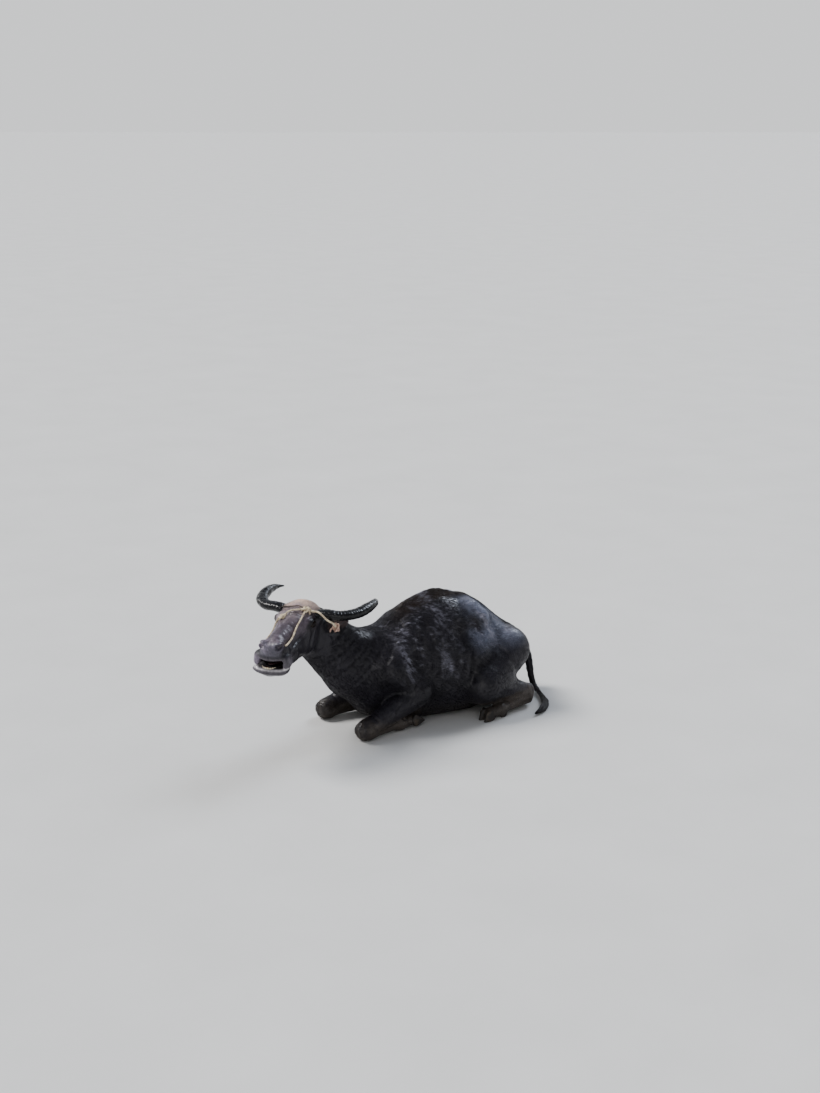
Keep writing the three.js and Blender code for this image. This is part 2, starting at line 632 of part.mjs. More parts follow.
/** Adds the claws and dewclaws of one foot, clear of the leg above. */
function addFoot(name, pastern, fetlock, toe, sole, cutters) {
  const across = toe.clone().cross(sole).normalize();
  const ground = sole.clone().negate();
  const turned = new THREE.Matrix4().makeBasis(toe, ground, toe.clone().cross(ground));
  for (const [clawName, side] of [['inner', -1], ['outer', 1]]) {
    const claw = clawShape();
    const place = pastern.clone().addScaledVector(across, side * CLAW.apart / 2)
      .addScaledVector(toe, CLAW.length / 2 + CLAW.ahead).addScaledVector(sole, CLAW.drop);
    claw.applyMatrix4(turned.clone().setPosition(place));
    addPart(`${name}_claw_${clawName}`, cutBy(solidOf(claw), ...cutters), 'hoof');
    const dewclaw = new THREE.SphereGeometry(1, 6, 4);
    dewclaw.scale(DEWCLAW.length, DEWCLAW.radius, DEWCLAW.radius);
    const spur = fetlock.clone().addScaledVector(across, side * DEWCLAW.apart / 2)
      .addScaledVector(sole, DEWCLAW.behind);
    dewclaw.applyMatrix4(turned.clone().setPosition(spur));
    addPart(`${name}_dewclaw_${clawName}`, cutBy(solidOf(dewclaw), ...cutters), 'hoof');
  }
}

/** Adds the lower leg and the foot below an upper leg, clear of what is above it. */
function addLowerLeg(name, path, radii, toe, sole, grownAbove) {
  const clay = blend(24, cone(path.wrist, path.fetlock, radii.wrist, CANNON.end),
    cone(path.wrist, path.fetlock, CANNON.start, CANNON.end),
    ellipsoid(path.fetlock, Array(3).fill(radii.fetlock)),
    cone(path.fetlock, path.pastern, CANNON.pasternStart, radii.pastern));
  const lower = curveThrough([vec(path.wrist), vec(path.fetlock), vec(path.pastern)]);
  const shape = (margin) => solidOf(castBody(clay, lower, SHANK_FACETS,
    { roundStart: true, roundEnd: true, margin, reach: 120 }));
  addPart(name, cutBy(shape(0), ...grownAbove), 'hide');
  addFoot(name.replace('_lower', ''), vec(path.pastern), vec(path.fetlock), vec(toe).normalize(),
    vec(sole).normalize(), [shape(GAP), ...grownAbove]);
}

for (const [sideName, side] of [['left', 1], ['right', -1]]) {
  const mirror = ([x, y, z]) => [side * x, y, z];
  const placed = (path, shift = [0, 0, 0]) => Object.fromEntries(Object.entries(path)
    .map(([joint, [x, y, z]]) => [joint, mirror([x + shift[0], y + shift[1], z + shift[2]])]));

  const fore = placed(FORE.path);
  const foreClay = blend(40, cone(fore.elbow, fore.knee, FORE.radii.elbow, FORE.radii.knee),
    ellipsoid(fore.knee, KNEE_CAP));
  const foreAxis = curveThrough([vec(fore.elbow), vec(fore.knee)]);
  const foreShape = (margin) => solidOf(castBody(foreClay, foreAxis, LIMB_FACETS,
    { roundStart: true, roundEnd: true, margin, reach: 200 }));
  addPart(`foreleg_upper_${sideName}`, cutBy(foreShape(0), grownTrunk, grownNeck), 'hide');
  addLowerLeg(`foreleg_lower_${sideName}`, fore, FORE.radii, mirror(FORE.toe), mirror(FORE.sole),
    [foreShape(GAP), grownTrunk, grownNeck]);

  const hind = placed(HIND.path, side < 0 ? RIGHT_HIND_TUCK : undefined);
  const hindClay = blend(70, cone(hind.hip, hind.stifle, HIND.radii.hip, HIND.radii.stifle),
    cone(hind.stifle, hind.hock, HIND.radii.stifle, HIND.radii.hock));
  const hindAxis = curveThrough([hind.stifle, ...HIND.axis.map(mirror)].map(vec));
  const hindShape = (margin) => solidOf(castBody(hindClay, hindAxis, LIMB_FACETS,
    { roundStart: true, roundEnd: true, margin, reach: 400 }));
  addPart(`hindleg_upper_${sideName}`, cutBy(hindShape(0), grownTrunk), 'hide');
  addLowerLeg(`hindleg_lower_${sideName}`, hind, HIND.radii, mirror(HIND.toe), mirror(HIND.sole),
    [hindShape(GAP), grownTrunk]);
}

// Tail in three lengths

const tailPoints = TAIL_PATH.map(vec);
const tailBreaks = [0, ...TAIL_PARTINGS, 1];
const tailGap = GAP / curveThrough(tailPoints).getLength();
['tail_upper', 'tail_lower', 'tail_switch'].forEach((name, index) => {
  const piece = solidOf(ovalBody(tailPoints, TAIL_RADII, TAIL_RADII, TAIL_FACETS,
    { from: tailBreaks[index] + (index > 0 ? tailGap : 0), to: tailBreaks[index + 1] }));
  addPart(name, cutBy(piece, grownTrunk), index === 2 ? 'tailHair' : 'hide');
});

// Halter

/** Halter place in the world, standing clear of the skin by a lift. */
function onHead(place, lift) {
  if (place.length === 3) {
    return fromHead(place);
  }
  const [forward, degrees] = place;
  const turn = THREE.MathUtils.degToRad(degrees);
  const start = fromHead([forward, 0, -20]);
  const direction = headUp.clone().multiplyScalar(Math.cos(turn)).addScaledVector(headLeft, Math.sin(turn));
  return start.addScaledVector(direction, leavesClay(wholeClay, start, direction, 300) + lift);
}

const knotShapes = Object.entries(KNOTS).map(([name, { at, radii }]) => {
  const centre = toHead(onHead(at, radii[2] * KNOT_SINK)).toArray();
  return [name, (margin) => headBall({ at: centre, radii }, margin, 8, 6)];
});
const grownKnots = knotShapes.map(([, shape]) => shape(GAP));
for (const [name, shape] of knotShapes) {
  addPart(`halter_${name}_knot`, cutBy(shape(0), grownHead, grownNeck, ...grownHeadgear), 'rope');
}
for (const [name, places] of Object.entries(ROPE_RUNS)) {
  const route = curveThrough(places.map((place) => onHead(place, ROPE.lift)));
  const section = new THREE.Shape();
  section.absarc(0, 0, ROPE.radius, 0, 2 * Math.PI);
  const tube = new THREE.ExtrudeGeometry(section, { steps: Math.ceil(route.getLength() / ROPE.step),
    curveSegments: ROPE.sides / 2, bevelEnabled: false, extrudePath: route });
  addPart(`halter_${name}`,
    cutBy(solidOf(tube), grownHead, grownNeck, ...grownHeadgear, ...grownKnots), 'rope');
}

// The origin is under the middle of the model's box, on the floor
const extent = new THREE.Box3().setFromObject(buffalo);
const middle = extent.getCenter(new THREE.Vector3());
buffalo.position.set(-middle.x, -middle.y, -extent.min.z);
buffalo.updateMatrixWorld(true);
export default buffalo;
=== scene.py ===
"""Resting water buffalo: one skin over the frame, its coat, horns, claws, eyes, mouth and rope halter.

Metres. Shapes are worked out with the animal heading along -Y, its left side at +X and the floor at z = 0,
and are then moved as a whole to where the frame has the animal.
"""
import logging
import math
from dataclasses import dataclass, replace
from enum import Enum
from functools import cached_property
from typing import Sequence

import bpy
import numpy as np
from mathutils import Matrix, Vector
from mathutils.bvhtree import BVHTree


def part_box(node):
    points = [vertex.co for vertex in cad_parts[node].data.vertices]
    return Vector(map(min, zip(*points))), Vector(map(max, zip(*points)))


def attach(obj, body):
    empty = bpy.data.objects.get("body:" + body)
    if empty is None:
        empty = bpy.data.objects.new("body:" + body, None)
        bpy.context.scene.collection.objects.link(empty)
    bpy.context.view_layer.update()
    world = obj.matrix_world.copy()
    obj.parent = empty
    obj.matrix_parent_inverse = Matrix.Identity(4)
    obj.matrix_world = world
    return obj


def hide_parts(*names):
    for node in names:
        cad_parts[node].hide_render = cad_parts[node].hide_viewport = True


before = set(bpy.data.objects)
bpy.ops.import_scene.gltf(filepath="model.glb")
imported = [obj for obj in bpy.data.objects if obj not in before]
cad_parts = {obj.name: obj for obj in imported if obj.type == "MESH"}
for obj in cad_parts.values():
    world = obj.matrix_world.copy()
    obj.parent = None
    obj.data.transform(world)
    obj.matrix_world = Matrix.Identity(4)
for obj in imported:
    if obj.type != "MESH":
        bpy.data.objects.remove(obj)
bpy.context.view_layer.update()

LOG = logging.getLogger("buffalo")
Triple = tuple[float, float, float]
Grid = np.ndarray
Shell = tuple[Grid, list[Grid]]
Piece = bpy.types.Object
Material = bpy.types.Material
SIDES = (("left", 1.0), ("right", -1.0))


# Small geometry helpers

def unit(vectors: Grid) -> Grid:
    """Scale vectors to length one."""
    vectors = np.asarray(vectors, float)
    return vectors / np.maximum(np.linalg.norm(vectors, axis=-1, keepdims=True), 1e-12)


def ramp(value: Grid, low: float, high: float) -> Grid:
    """Rise smoothly from 0 to 1 while a value goes from low to high."""
    t = np.clip((np.asarray(value, float) - low) / (high - low), 0, 1)
    return t * t * (3 - 2 * t)


def ripple(points: Grid, size: float, seed: int) -> Grid:
    """Give a smooth, patchy number from about -1 to 1 for each point.

    Args:
        points: Rows of places.
        size: Rough width of a patch.
        seed: Picks the pattern.
    Returns:
        One number for each point.
    """
    draw = np.random.default_rng(seed)
    waves = draw.normal(size=(9, 3)) * (2.2 / size)
    phases = draw.uniform(0, 2 * math.pi, 9)
    return np.sin(points @ waves.T + phases).sum(axis=1) / 3.4


def mirror(at: Sequence[float], side: float, axis: int = 0) -> Triple:
    """Mirror a place across the body, or with axis 1 across the head."""
    return tuple(number * side if k == axis else number for k, number in enumerate(at))


def smooth_line(points: Sequence[Sequence[float]], count: int) -> Grid:
    """Draw a centripetal curve through points and space it evenly.

    Args:
        points: The places that the curve passes through.
        count: How many evenly spaced places to return.
    Returns:
        Rows of places along the curve.
    """
    knots = np.asarray(points, float)
    knots = np.vstack([2 * knots[0] - knots[1], knots, 2 * knots[-1] - knots[-2]])
    dense = []
    for a, b, c, d in zip(knots, knots[1:], knots[2:], knots[3:]):
        spans = np.sqrt([max(np.linalg.norm(q - p), 1e-6) for p, q in ((a, b), (b, c), (c, d))])
        start = ((b - a) / spans[0] - (c - a) / (spans[0] + spans[1]) + (c - b) / spans[1]) * spans[1]
        end = ((c - b) / spans[1] - (d - b) / (spans[1] + spans[2]) + (d - c) / spans[2]) * spans[1]
        t = np.linspace(0, 1, 40, endpoint=False)[:, None]
        dense.append((2 * t**3 - 3 * t**2 + 1) * b + (t**3 - 2 * t**2 + t) * start
                     + (3 * t**2 - 2 * t**3) * c + (t**3 - t**2) * end)
    dense = np.vstack([*dense, knots[-2]])
    run = np.concatenate([[0], np.cumsum(np.linalg.norm(np.diff(dense, axis=0), axis=1))])
    even = np.linspace(0, run[-1], count)
    return np.stack([np.interp(even, run, dense[:, axis]) for axis in range(3)], axis=1)


def spread(values: Sequence[float], t: Grid) -> Grid:
    """Read a list of numbers that is spread evenly over 0 to 1."""
    return np.interp(t, np.linspace(0, 1, len(values)), values)


def line_frames(line: Grid, upright: Sequence[float]) -> tuple[Grid, Grid, Grid]:
    """Find the directions along and across a line.

    Args:
        line: Rows of places along it.
        upright: The way that the first direction across leans to.
    Returns:
        Directions ahead, first across and second across at each place.
    """
    ahead = unit(np.gradient(line, axis=0))
    first = np.asarray(upright, float) - (ahead @ np.asarray(upright, float))[:, None] * ahead
    first = unit(first)
    return ahead, first, np.cross(first, ahead)


@dataclass(frozen=True)
class HeadAxes:
    """Where the head is carried, how it is turned, and its own axes: forward, left and up."""

    place: Triple = (0.062, -0.67, 0.678)
    yaw: float = 33.2
    pitch: float = -5.0
    roll: float = -1.8
    scale: float = 1.07

    @cached_property
    def rows(self) -> Grid:
        """Forward, left and up as rows."""
        yaw, pitch, roll = np.radians([self.yaw, self.pitch, self.roll])
        flat = math.cos(pitch)
        forward = np.array([math.sin(yaw) * flat, -math.cos(yaw) * flat, math.sin(pitch)])
        level = np.array([math.cos(yaw), math.sin(yaw), 0.0])
        left = level * math.cos(roll) + np.cross(forward, level) * math.sin(roll)
        return np.array([forward, left, np.cross(forward, left)])

    def inward(self, points: Grid) -> Grid:
        """Turn world places into head axes."""
        return (np.asarray(points, float) - self.place) @ self.rows.T / self.scale

    def outward(self, points: Grid) -> Grid:
        """Turn head axes into world places."""
        return np.asarray(points, float) @ self.rows * self.scale + self.place


HEAD = HeadAxes()


# Clay: each mass gives a number that is negative inside it and close to a distance

class Clay:
    """A mass of clay."""

    def value(self, p: Grid) -> Grid:
        """Read the clay.

        Args:
            p: Rows of places.
        Returns:
            About the distance to the clay's skin, negative inside.
        """
        raise NotImplementedError


@dataclass(frozen=True)
class Ball(Clay):
    """Ellipsoid of clay."""

    at: Triple
    radii: Triple

    def value(self, p: Grid) -> Grid:
        """Rough distance to the ellipsoid."""
        scaled = (p - np.array(self.at)) / np.array(self.radii)
        size = np.sqrt((scaled**2).sum(axis=1))
        slope = np.sqrt(((scaled / np.array(self.radii))**2).sum(axis=1))
        return np.where(slope < 1e-6, -min(self.radii), size * (size - 1) / np.maximum(slope, 1e-6))

    def mirrored(self, side: float, axis: int) -> "Ball":
        """The same ellipsoid on the wanted side."""
        return Ball(mirror(self.at, side, axis), self.radii)


@dataclass(frozen=True)
class Cone(Clay):
    """Round-ended cone of clay between two places."""

    start: Triple
    end: Triple
    start_radius: float
    end_radius: float

    def value(self, p: Grid) -> Grid:
        """Distance to the cone's skin."""
        start = np.array(self.start)
        span = np.array(self.end) - start
        offset = p - start
        t = np.clip(offset @ span / (span @ span), 0, 1)
        away = np.sqrt(((offset - t[:, None] * span)**2).sum(axis=1))
        return away - (self.start_radius + (self.end_radius - self.start_radius) * t)

    def mirrored(self, side: float, axis: int) -> "Cone":
        """The same cone on the wanted side."""
        return replace(self, start=mirror(self.start, side, axis), end=mirror(self.end, side, axis))


@dataclass(frozen=True)
class Blend(Clay):
    """Union of masses with a fillet."""

    fillet: float
    masses: tuple[Clay, ...]

    def value(self, p: Grid) -> Grid:
        """Smooth least value of the masses."""
        total = self.masses[0].value(p)
        for mass in self.masses[1:]:
            other = mass.value(p)
            overlap = np.maximum(self.fillet - np.abs(total - other), 0) / self.fillet
            total = np.minimum(total, other) - overlap * overlap * self.fillet / 4
        return total


@dataclass(frozen=True)
class Hollow(Clay):
    """A mass with others pressed out of it."""

    fillet: float
    mass: Clay
    presses: tuple[Clay, ...]

    def value(self, p: Grid) -> Grid:
        """Smooth greatest value of the mass and the turned-round presses."""
        total = self.mass.value(p)
        for press in self.presses:
            other = -press.value(p)
            overlap = np.maximum(self.fillet - np.abs(total - other), 0) / self.fillet
            total = np.maximum(total, other) + overlap * overlap * self.fillet / 4
        return total


@dataclass(frozen=True)
class Near(Clay):
    """A mass that is only worked out inside a box around it."""

    mass: Clay
    low: Triple
    high: Triple
    beyond: float = 0.2

    def value(self, p: Grid) -> Grid:
        """The mass's value in the box and a large one outside it."""
        total = np.full(len(p), self.beyond)
        held = ((p > self.low) & (p < self.high)).all(axis=1)
        if held.any():
            total[held] = self.mass.value(p[held])
        return total


@dataclass(frozen=True)
class InHead(Clay):
    """Masses given in head axes."""

    mass: Clay

    def value(self, p: Grid) -> Grid:
        """The mass's value for world places."""
        return self.mass.value(HEAD.inward(p)) * HEAD.scale


@dataclass(frozen=True)
class Swept(Clay):
    """Tapered body with oval sections along a line, its middle pushed by a dish depth."""

    path: tuple[Triple, ...]
    widths: tuple[float, ...]
    heights: tuple[float, ...]
    upright: Triple
    dish: float = 0.0
    steps: int = 14

    def value(self, p: Grid) -> Grid:
        """Rough distance to the nearest oval section."""
        line = smooth_line(self.path, self.steps)
        _, first, second = line_frames(line, self.upright)
        place = np.linspace(0, 1, self.steps)
        total = np.full(len(p), 1.0)
        for k in range(self.steps - 1):
            span = line[k + 1] - line[k]
            offset = p - line[k]
            t = np.clip(offset @ span / (span @ span), 0, 1)
            rest = offset - t[:, None] * span
            at = place[k] + t * (place[k + 1] - place[k])
            wide, high = spread(self.widths, at), spread(self.heights, at)
            across = rest @ second[k] / wide
            above = rest @ first[k] + self.dish * (np.clip(across, -1.2, 1.2)**2 - 0.5)
            along = rest @ np.cross(second[k], first[k])
            norm = np.sqrt(across**2 + (above / high)**2 + (along / high)**2)
            total = np.minimum(total, (norm - 1) * np.minimum(wide, high))
        return total


@dataclass(frozen=True)
class Torso(Clay):
    """Barrel of the body: roof-shaped above its widest level and full below."""

    rows: tuple[tuple[float, float, float, float, float], ...] = (
        (-0.23, 0.48, 0.17, 0.11, 0.33), (-0.1, 0.54, 0.05, 0.175, 0.31),
        (0.03, 0.632, 0.0, 0.215, 0.3), (0.17, 0.69, -0.008, 0.255, 0.295),
        (0.3, 0.709, -0.012, 0.292, 0.285), (0.43, 0.676, -0.012, 0.308, 0.28),
        (0.51, 0.66, -0.008, 0.292, 0.278), (0.61, 0.59, -0.004, 0.25, 0.268),
        (0.7, 0.51, 0.006, 0.205, 0.255), (0.79, 0.43, 0.035, 0.15, 0.24),
        (0.86, 0.355, 0.09, 0.095, 0.228))
    back_roundness: float = 1.72
    belly_roundness: float = 2.5

    @cached_property
    def table(self) -> Grid:
        """Even fine table of top, underside, half width and widest level along y."""
        rows = np.array(self.rows)
        fine = np.linspace(rows[0, 0], rows[-1, 0], 400)
        out = [fine]
        for column in range(1, 5):
            slopes = np.gradient(rows[:, column], rows[:, 0])
            k = np.clip(np.searchsorted(rows[:, 0], fine, side="right") - 1, 0, len(rows) - 2)
            span = rows[k + 1, 0] - rows[k, 0]
            t = (fine - rows[k, 0]) / span
            out.append((2 * t**3 - 3 * t**2 + 1) * rows[k, column] + (t**3 - 2 * t**2 + t) * slopes[k] * span
                       + (3 * t**2 - 2 * t**3) * rows[k + 1, column] + (t**3 - t**2) * slopes[k + 1] * span)
        return np.array(out)

    def value(self, p: Grid) -> Grid:
        """Rough distance to the barrel."""
        y = p[:, 1]
        top, bottom, half, mid = (np.interp(y, self.table[0], row) for row in self.table[1:])
        above = p[:, 2] > mid
        height = np.where(above, top - mid, mid - bottom)
        power = np.where(above, self.back_roundness, self.belly_roundness)
        norm = (np.abs(p[:, 0] / half)**power + np.abs((p[:, 2] - mid) / height)**power)**(1 / power)
        girth = np.minimum(half, height)
        across = (norm - 1) * girth
        beyond = np.maximum(np.maximum(self.rows[0][0] - y, y - self.rows[-1][0]), 0)
        return np.where(beyond > 0, np.hypot(np.maximum(across + girth, 0), beyond) - girth, across)


def bent(start: Triple, by: Triple, end: Triple, radii: Triple) -> Blend:
    """Two cones of clay through three places, with a radius at each."""
    return Blend(0.03, (Cone(start, by, radii[0], radii[1]), Cone(by, end, radii[1], radii[2])))


def pairs(axis: int, *masses: Ball | Cone) -> list[Clay]:
    """Put each mass on the left and on the right; axis 0 for the body, 1 for the head."""
    return [mass.mirrored(side, axis) for mass in masses for _, side in SIDES]


@dataclass(frozen=True)
class Mouth(Clay):
    """Opening between the lips, in head axes: an arch, highest under the nose, and the space behind."""

    top: float = -0.08
    bottom: float = -0.112
    droop: float = 0.042
    flat: float = 0.03
    half_width: float = 0.078
    corner: float = 0.14
    middle: float = -0.013
    cavity: Ball = Ball((0.176, -0.013, -0.096), (0.096, 0.062, 0.026))

    def value(self, p: Grid) -> Grid:
        """Negative in the open mouth."""
        across = np.abs(p[:, 1] - self.middle) / self.half_width
        close = ramp(p[:, 0], self.corner, self.corner + 0.1)
        middle = (self.top + self.bottom) / 2
        aside = np.clip((across * self.half_width - self.flat) / 0.044, 0, 1.2)**1.5
        top = middle + (self.top - middle) * close - self.droop * aside
        bottom = middle + (self.bottom - middle) * close + 0.003 * across**2
        slot = np.maximum(p[:, 2] - top, bottom - p[:, 2])
        wall = np.abs(p[:, 1] - self.middle) - 0.056 - 0.032 * ramp(p[:, 0], 0.215, 0.262)
        slot = np.maximum(np.maximum(slot, self.corner - p[:, 0]), wall)
        return np.minimum(slot, self.cavity.value(p))


@dataclass(frozen=True)
class EyeSocket:
    """Eye of one side, in head axes: the ball, the way it faces, and the slit between the lids."""

    side: float
    at: Triple = (-0.024, 0.092, 0.028)
    radius: float = 0.021
    lid: float = 0.005
    facing: Triple = (0.26, 0.94, 0.16)
    half_length: float = 0.0205
    half_opening: float = 0.0105

    @cached_property
    def centre(self) -> Grid:
        """Middle of the eyeball."""
        return np.array(mirror(self.at, self.side, 1))

    @cached_property
    def rows(self) -> Grid:
        """Directions towards the inner corner, up the lid and outwards, as rows."""
        out = unit(np.array(mirror(self.facing, self.side, 1)))
        slit = np.array([0.95, 0.0, -0.3])
        slit = unit(slit - (slit @ out) * out)
        upper = np.cross(out, slit) * self.side
        return np.array([slit, upper if upper[2] > 0 else -upper, out])

    def local(self, p: Grid) -> Grid:
        """Places in the eye's own directions."""
        return (p - self.centre) @ self.rows.T


@dataclass(frozen=True)
class LidSlit(Clay):
    """Almond-shaped opening between the lids of one eye."""

    socket: EyeSocket

    def value(self, p: Grid) -> Grid:
        """Negative inside the opening, from the eye's middle outwards."""
        along, above, out = self.socket.local(p).T
        bow = np.clip(1 - (along / self.socket.half_length)**2, 0, None)
        half = self.socket.half_opening * bow**0.8
        shut = np.maximum(np.abs(above - 0.001) - half, np.abs(along) - self.socket.half_length)
        return np.maximum(shut, -out)


SOCKETS = {name: EyeSocket(side) for name, side in SIDES}


@dataclass(frozen=True)
class EarShape:
    """Ear laid back along the neck, in head axes for the left side."""

    path: tuple[Triple, ...] = ((-0.128, 0.084, -0.026), (-0.158, 0.112, -0.034), (-0.204, 0.14, -0.042),
                                (-0.254, 0.16, -0.046), (-0.304, 0.172, -0.046))
    facing: Triple = (0.35, 0.9, 0.25)
    widths: tuple[float, ...] = (0.022, 0.04, 0.046, 0.035, 0.006)
    heights: tuple[float, ...] = (0.015, 0.009, 0.008, 0.007, 0.004)
    dish: float = 0.01

    def clay(self, side: float) -> Clay:
        """The ear of one side as clay in head axes, worked out only close to it."""
        path = tuple(mirror(at, side, 1) for at in self.path)
        mass = Swept(path, self.widths, self.heights, mirror(self.facing, side, 1), self.dish)
        return Near(mass, (-0.4, min(0.0, side) * 0.3, -0.14), (-0.06, max(0.0, side) * 0.3, 0.08))


@dataclass(frozen=True)
class HeadShape:
    """Masses of the skull, muzzle, jaw, lids and ears in head axes."""

    ear: EarShape = EarShape()
    mouth: Mouth = Mouth()

    @cached_property
    def clay(self) -> Clay:
        """The head as one mass in head axes, ears and mouth included."""
        skull = Blend(0.034, (
            Ball((-0.108, 0, -0.004), (0.108, 0.1, 0.092)),
            Ball((-0.118, -0.006, 0.034), (0.076, 0.092, 0.066)),
            Ball((-0.024, 0, 0.006), (0.106, 0.096, 0.076)),
            Cone((0, 0, 0.008), (0.19, 0, -0.006), 0.072, 0.052),
            *pairs(1, Ball((-0.038, 0.054, -0.062), (0.106, 0.046, 0.082)),
                   Cone((-0.01, 0.048, -0.08), (0.112, 0.044, -0.072), 0.044, 0.038),
                   Cone((0.09, 0.048, -0.046), (0.18, 0.048, -0.048), 0.038, 0.036))))
        face = Blend(0.02, (
            skull, Ball((0.226, 0, -0.018), (0.06, 0.067, 0.05)),
            Ball((0.222, -0.01, -0.053), (0.062, 0.09, 0.029)),
            Ball((0.228, 0.074, -0.083), (0.036, 0.018, 0.035)),
            Ball((0.234, -0.084, -0.082), (0.036, 0.018, 0.035)),
            Cone((0.13, 0.066, -0.094), (0.226, 0.07, -0.097), 0.022, 0.013),
            Cone((0.13, -0.07, -0.094), (0.226, -0.086, -0.097), 0.022, 0.013),
            *pairs(1, Ball((-0.018, 0.079, 0.045), (0.04, 0.03, 0.024)),
                   Ball((-0.1, 0.076, 0.034), (0.05, 0.044, 0.042)),
                   Ball((0.252, 0.043, 0.009), (0.028, 0.025, 0.024)))))
        jaw = Blend(0.026, tuple(Ball(at, radii) for at, radii in (
            ((-0.048, 0, -0.098), (0.072, 0.084, 0.054)), ((0.04, 0, -0.115), (0.09, 0.066, 0.042)),
            ((0.14, -0.014, -0.127), (0.088, 0.07, 0.034)), ((0.198, -0.02, -0.146), (0.056, 0.058, 0.028)),
            ((0.23, -0.026, -0.132), (0.052, 0.088, 0.027)),
            ((0.206, 0.04, -0.128), (0.044, 0.034, 0.027)))))
        lids = [Ball(tuple(socket.centre), (socket.radius + socket.lid,) * 3) for socket in SOCKETS.values()]
        whole = Blend(0.01, (Blend(0.014, (face, jaw)), *lids))
        nostrils = []
        for _, side in SIDES:
            nostrils.append(Cone((0.294, 0.038 * side, 0), (0.264, 0.046 * side, 0.008), 0.0125, 0.0105))
            nostrils.append(Cone((0.264, 0.046 * side, 0.008), (0.244, 0.064 * side, 0.018), 0.0095, 0.0035))
        open_head = Hollow(0.006, whole, (*nostrils, self.mouth))
        open_head = Hollow(0.0022, open_head, tuple(LidSlit(socket) for socket in SOCKETS.values()))
        return Blend(0.018, (open_head, *(self.ear.clay(side) for _, side in SIDES)))


class Limb(Enum):
    """Which pair of legs."""

    FORE = "foreleg"
    HIND = "hindleg"


@dataclass(frozen=True)
class Leg:
    """One folded leg: its joints, thickness, and how the foot is turned."""

    limb: Limb
    side: float
    joints: dict[str, Triple]
    radii: dict[str, float]
    toe: Triple
    sole: Triple

    @cached_property
    def clay(self) -> Clay:
        """The leg as one mass, upper and lower lengths meeting in a crease."""
        j, r = self.joints, self.radii
        if self.limb is Limb.FORE:
            upper = Blend(0.04, (Cone(j["elbow"], j["knee"], r["elbow"], r["knee"]),
                                  Ball(j["knee"], (0.052, 0.058, 0.057))))
        else:
            upper = Blend(0.07, (Cone(j["hip"], j["stifle"], r["hip"], r["stifle"]),
                                  Cone(j["stifle"], j["hock"], r["stifle"], r["hock"])))
        lower = Blend(0.024, (
            Cone(j["wrist"], j["fetlock"], r["wrist"], 0.03), Ball(j["fetlock"], (r["fetlock"],) * 3),
            Cone(j["fetlock"], j["pastern"], 0.034, r["pastern"])))
        return Blend(0.012, (upper, lower))

    @cached_property
    def axis(self) -> Grid:
        """The line that runs down the leg, for the lie of the coat and the unwrap."""
        names = ("elbow", "knee") if self.limb is Limb.FORE else ("hip", "stifle", "hock")
        return np.array([self.joints[n] for n in (*names, "wrist", "fetlock", "pastern")])


def fold_legs() -> list[Leg]:
    """Fold the left and right forelegs and hind legs."""
    legs = []
    for _, side in SIDES:
        fore = {"elbow": (0.196, 0.06, 0.205), "knee": (0.206, -0.3, 0.055), "wrist": (0.206, -0.29, 0.046),
                "fetlock": (0.192, -0.07, 0.04), "pastern": (0.188, 0.02, 0.044)}
        girth = {"elbow": 0.084, "knee": 0.052, "wrist": 0.044, "fetlock": 0.04, "pastern": 0.033}
        legs.append(Leg(Limb.FORE, side, {n: mirror(at, side) for n, at in fore.items()}, girth,
                        (0, 0.82, -0.57), (0, 0.57, 0.82)))
        tuck = np.array((-0.02, 0.015, 0.0)) * (side < 0)
        hind = {"hip": (0.168, 0.7, 0.325), "stifle": (0.276, 0.452, 0.185), "hock": (0.268, 0.775, 0.078),
                "wrist": (0.29, 0.76, 0.054), "fetlock": (0.338, 0.53, 0.042),
                "pastern": (0.346, 0.445, 0.038)}
        girth = {"hip": 0.142, "stifle": 0.1, "hock": 0.052, "wrist": 0.044, "fetlock": 0.041,
                 "pastern": 0.034}
        joints = {name: mirror(np.array(at) + tuck, side) for name, at in hind.items()}
        legs.append(Leg(Limb.HIND, side, joints, girth,
                        mirror((0.05, -0.97, -0.22), side), mirror((0.01, 0.22, -0.97), side)))
    return legs


@dataclass(frozen=True)
class TailShape:
    """Tail from its head down behind and round over the floor, with the part of it that is flesh."""

    path: tuple[Triple, ...] = (
        (0, 0.795, 0.396), (0, 0.876, 0.356), (0.004, 0.948, 0.285), (0.018, 0.99, 0.18),
        (0.075, 0.978, 0.052), (0.175, 0.94, 0.022), (0.28, 0.895, 0.019), (0.375, 0.835, 0.019),
        (0.436, 0.758, 0.02), (0.468, 0.68, 0.018))
    radii: tuple[float, ...] = (0.038, 0.033, 0.028, 0.023, 0.019, 0.016, 0.015, 0.024, 0.021, 0.004)
    flesh: float = 0.74

    @cached_property
    def line(self) -> Grid:
        """The tail's middle line."""
        return smooth_line(self.path, 60)

    @cached_property
    def clay(self) -> Clay:
        """The fleshy length as a chain of cones."""
        count = 18
        places = np.linspace(0, self.flesh, count)
        even = np.linspace(0, 1, 60)
        line = np.stack([np.interp(places, even, self.line[:, k]) for k in range(3)], axis=1)
        radii = np.minimum(spread(self.radii, places), 0.045 - 0.042 * places)
        cones = tuple(Cone(tuple(line[k]), tuple(line[k + 1]), radii[k], radii[k + 1])
                      for k in range(count - 1))
        return Near(Blend(0.008, cones), (-0.08, 0.7, -0.03), (0.5, 1.06, 0.5))


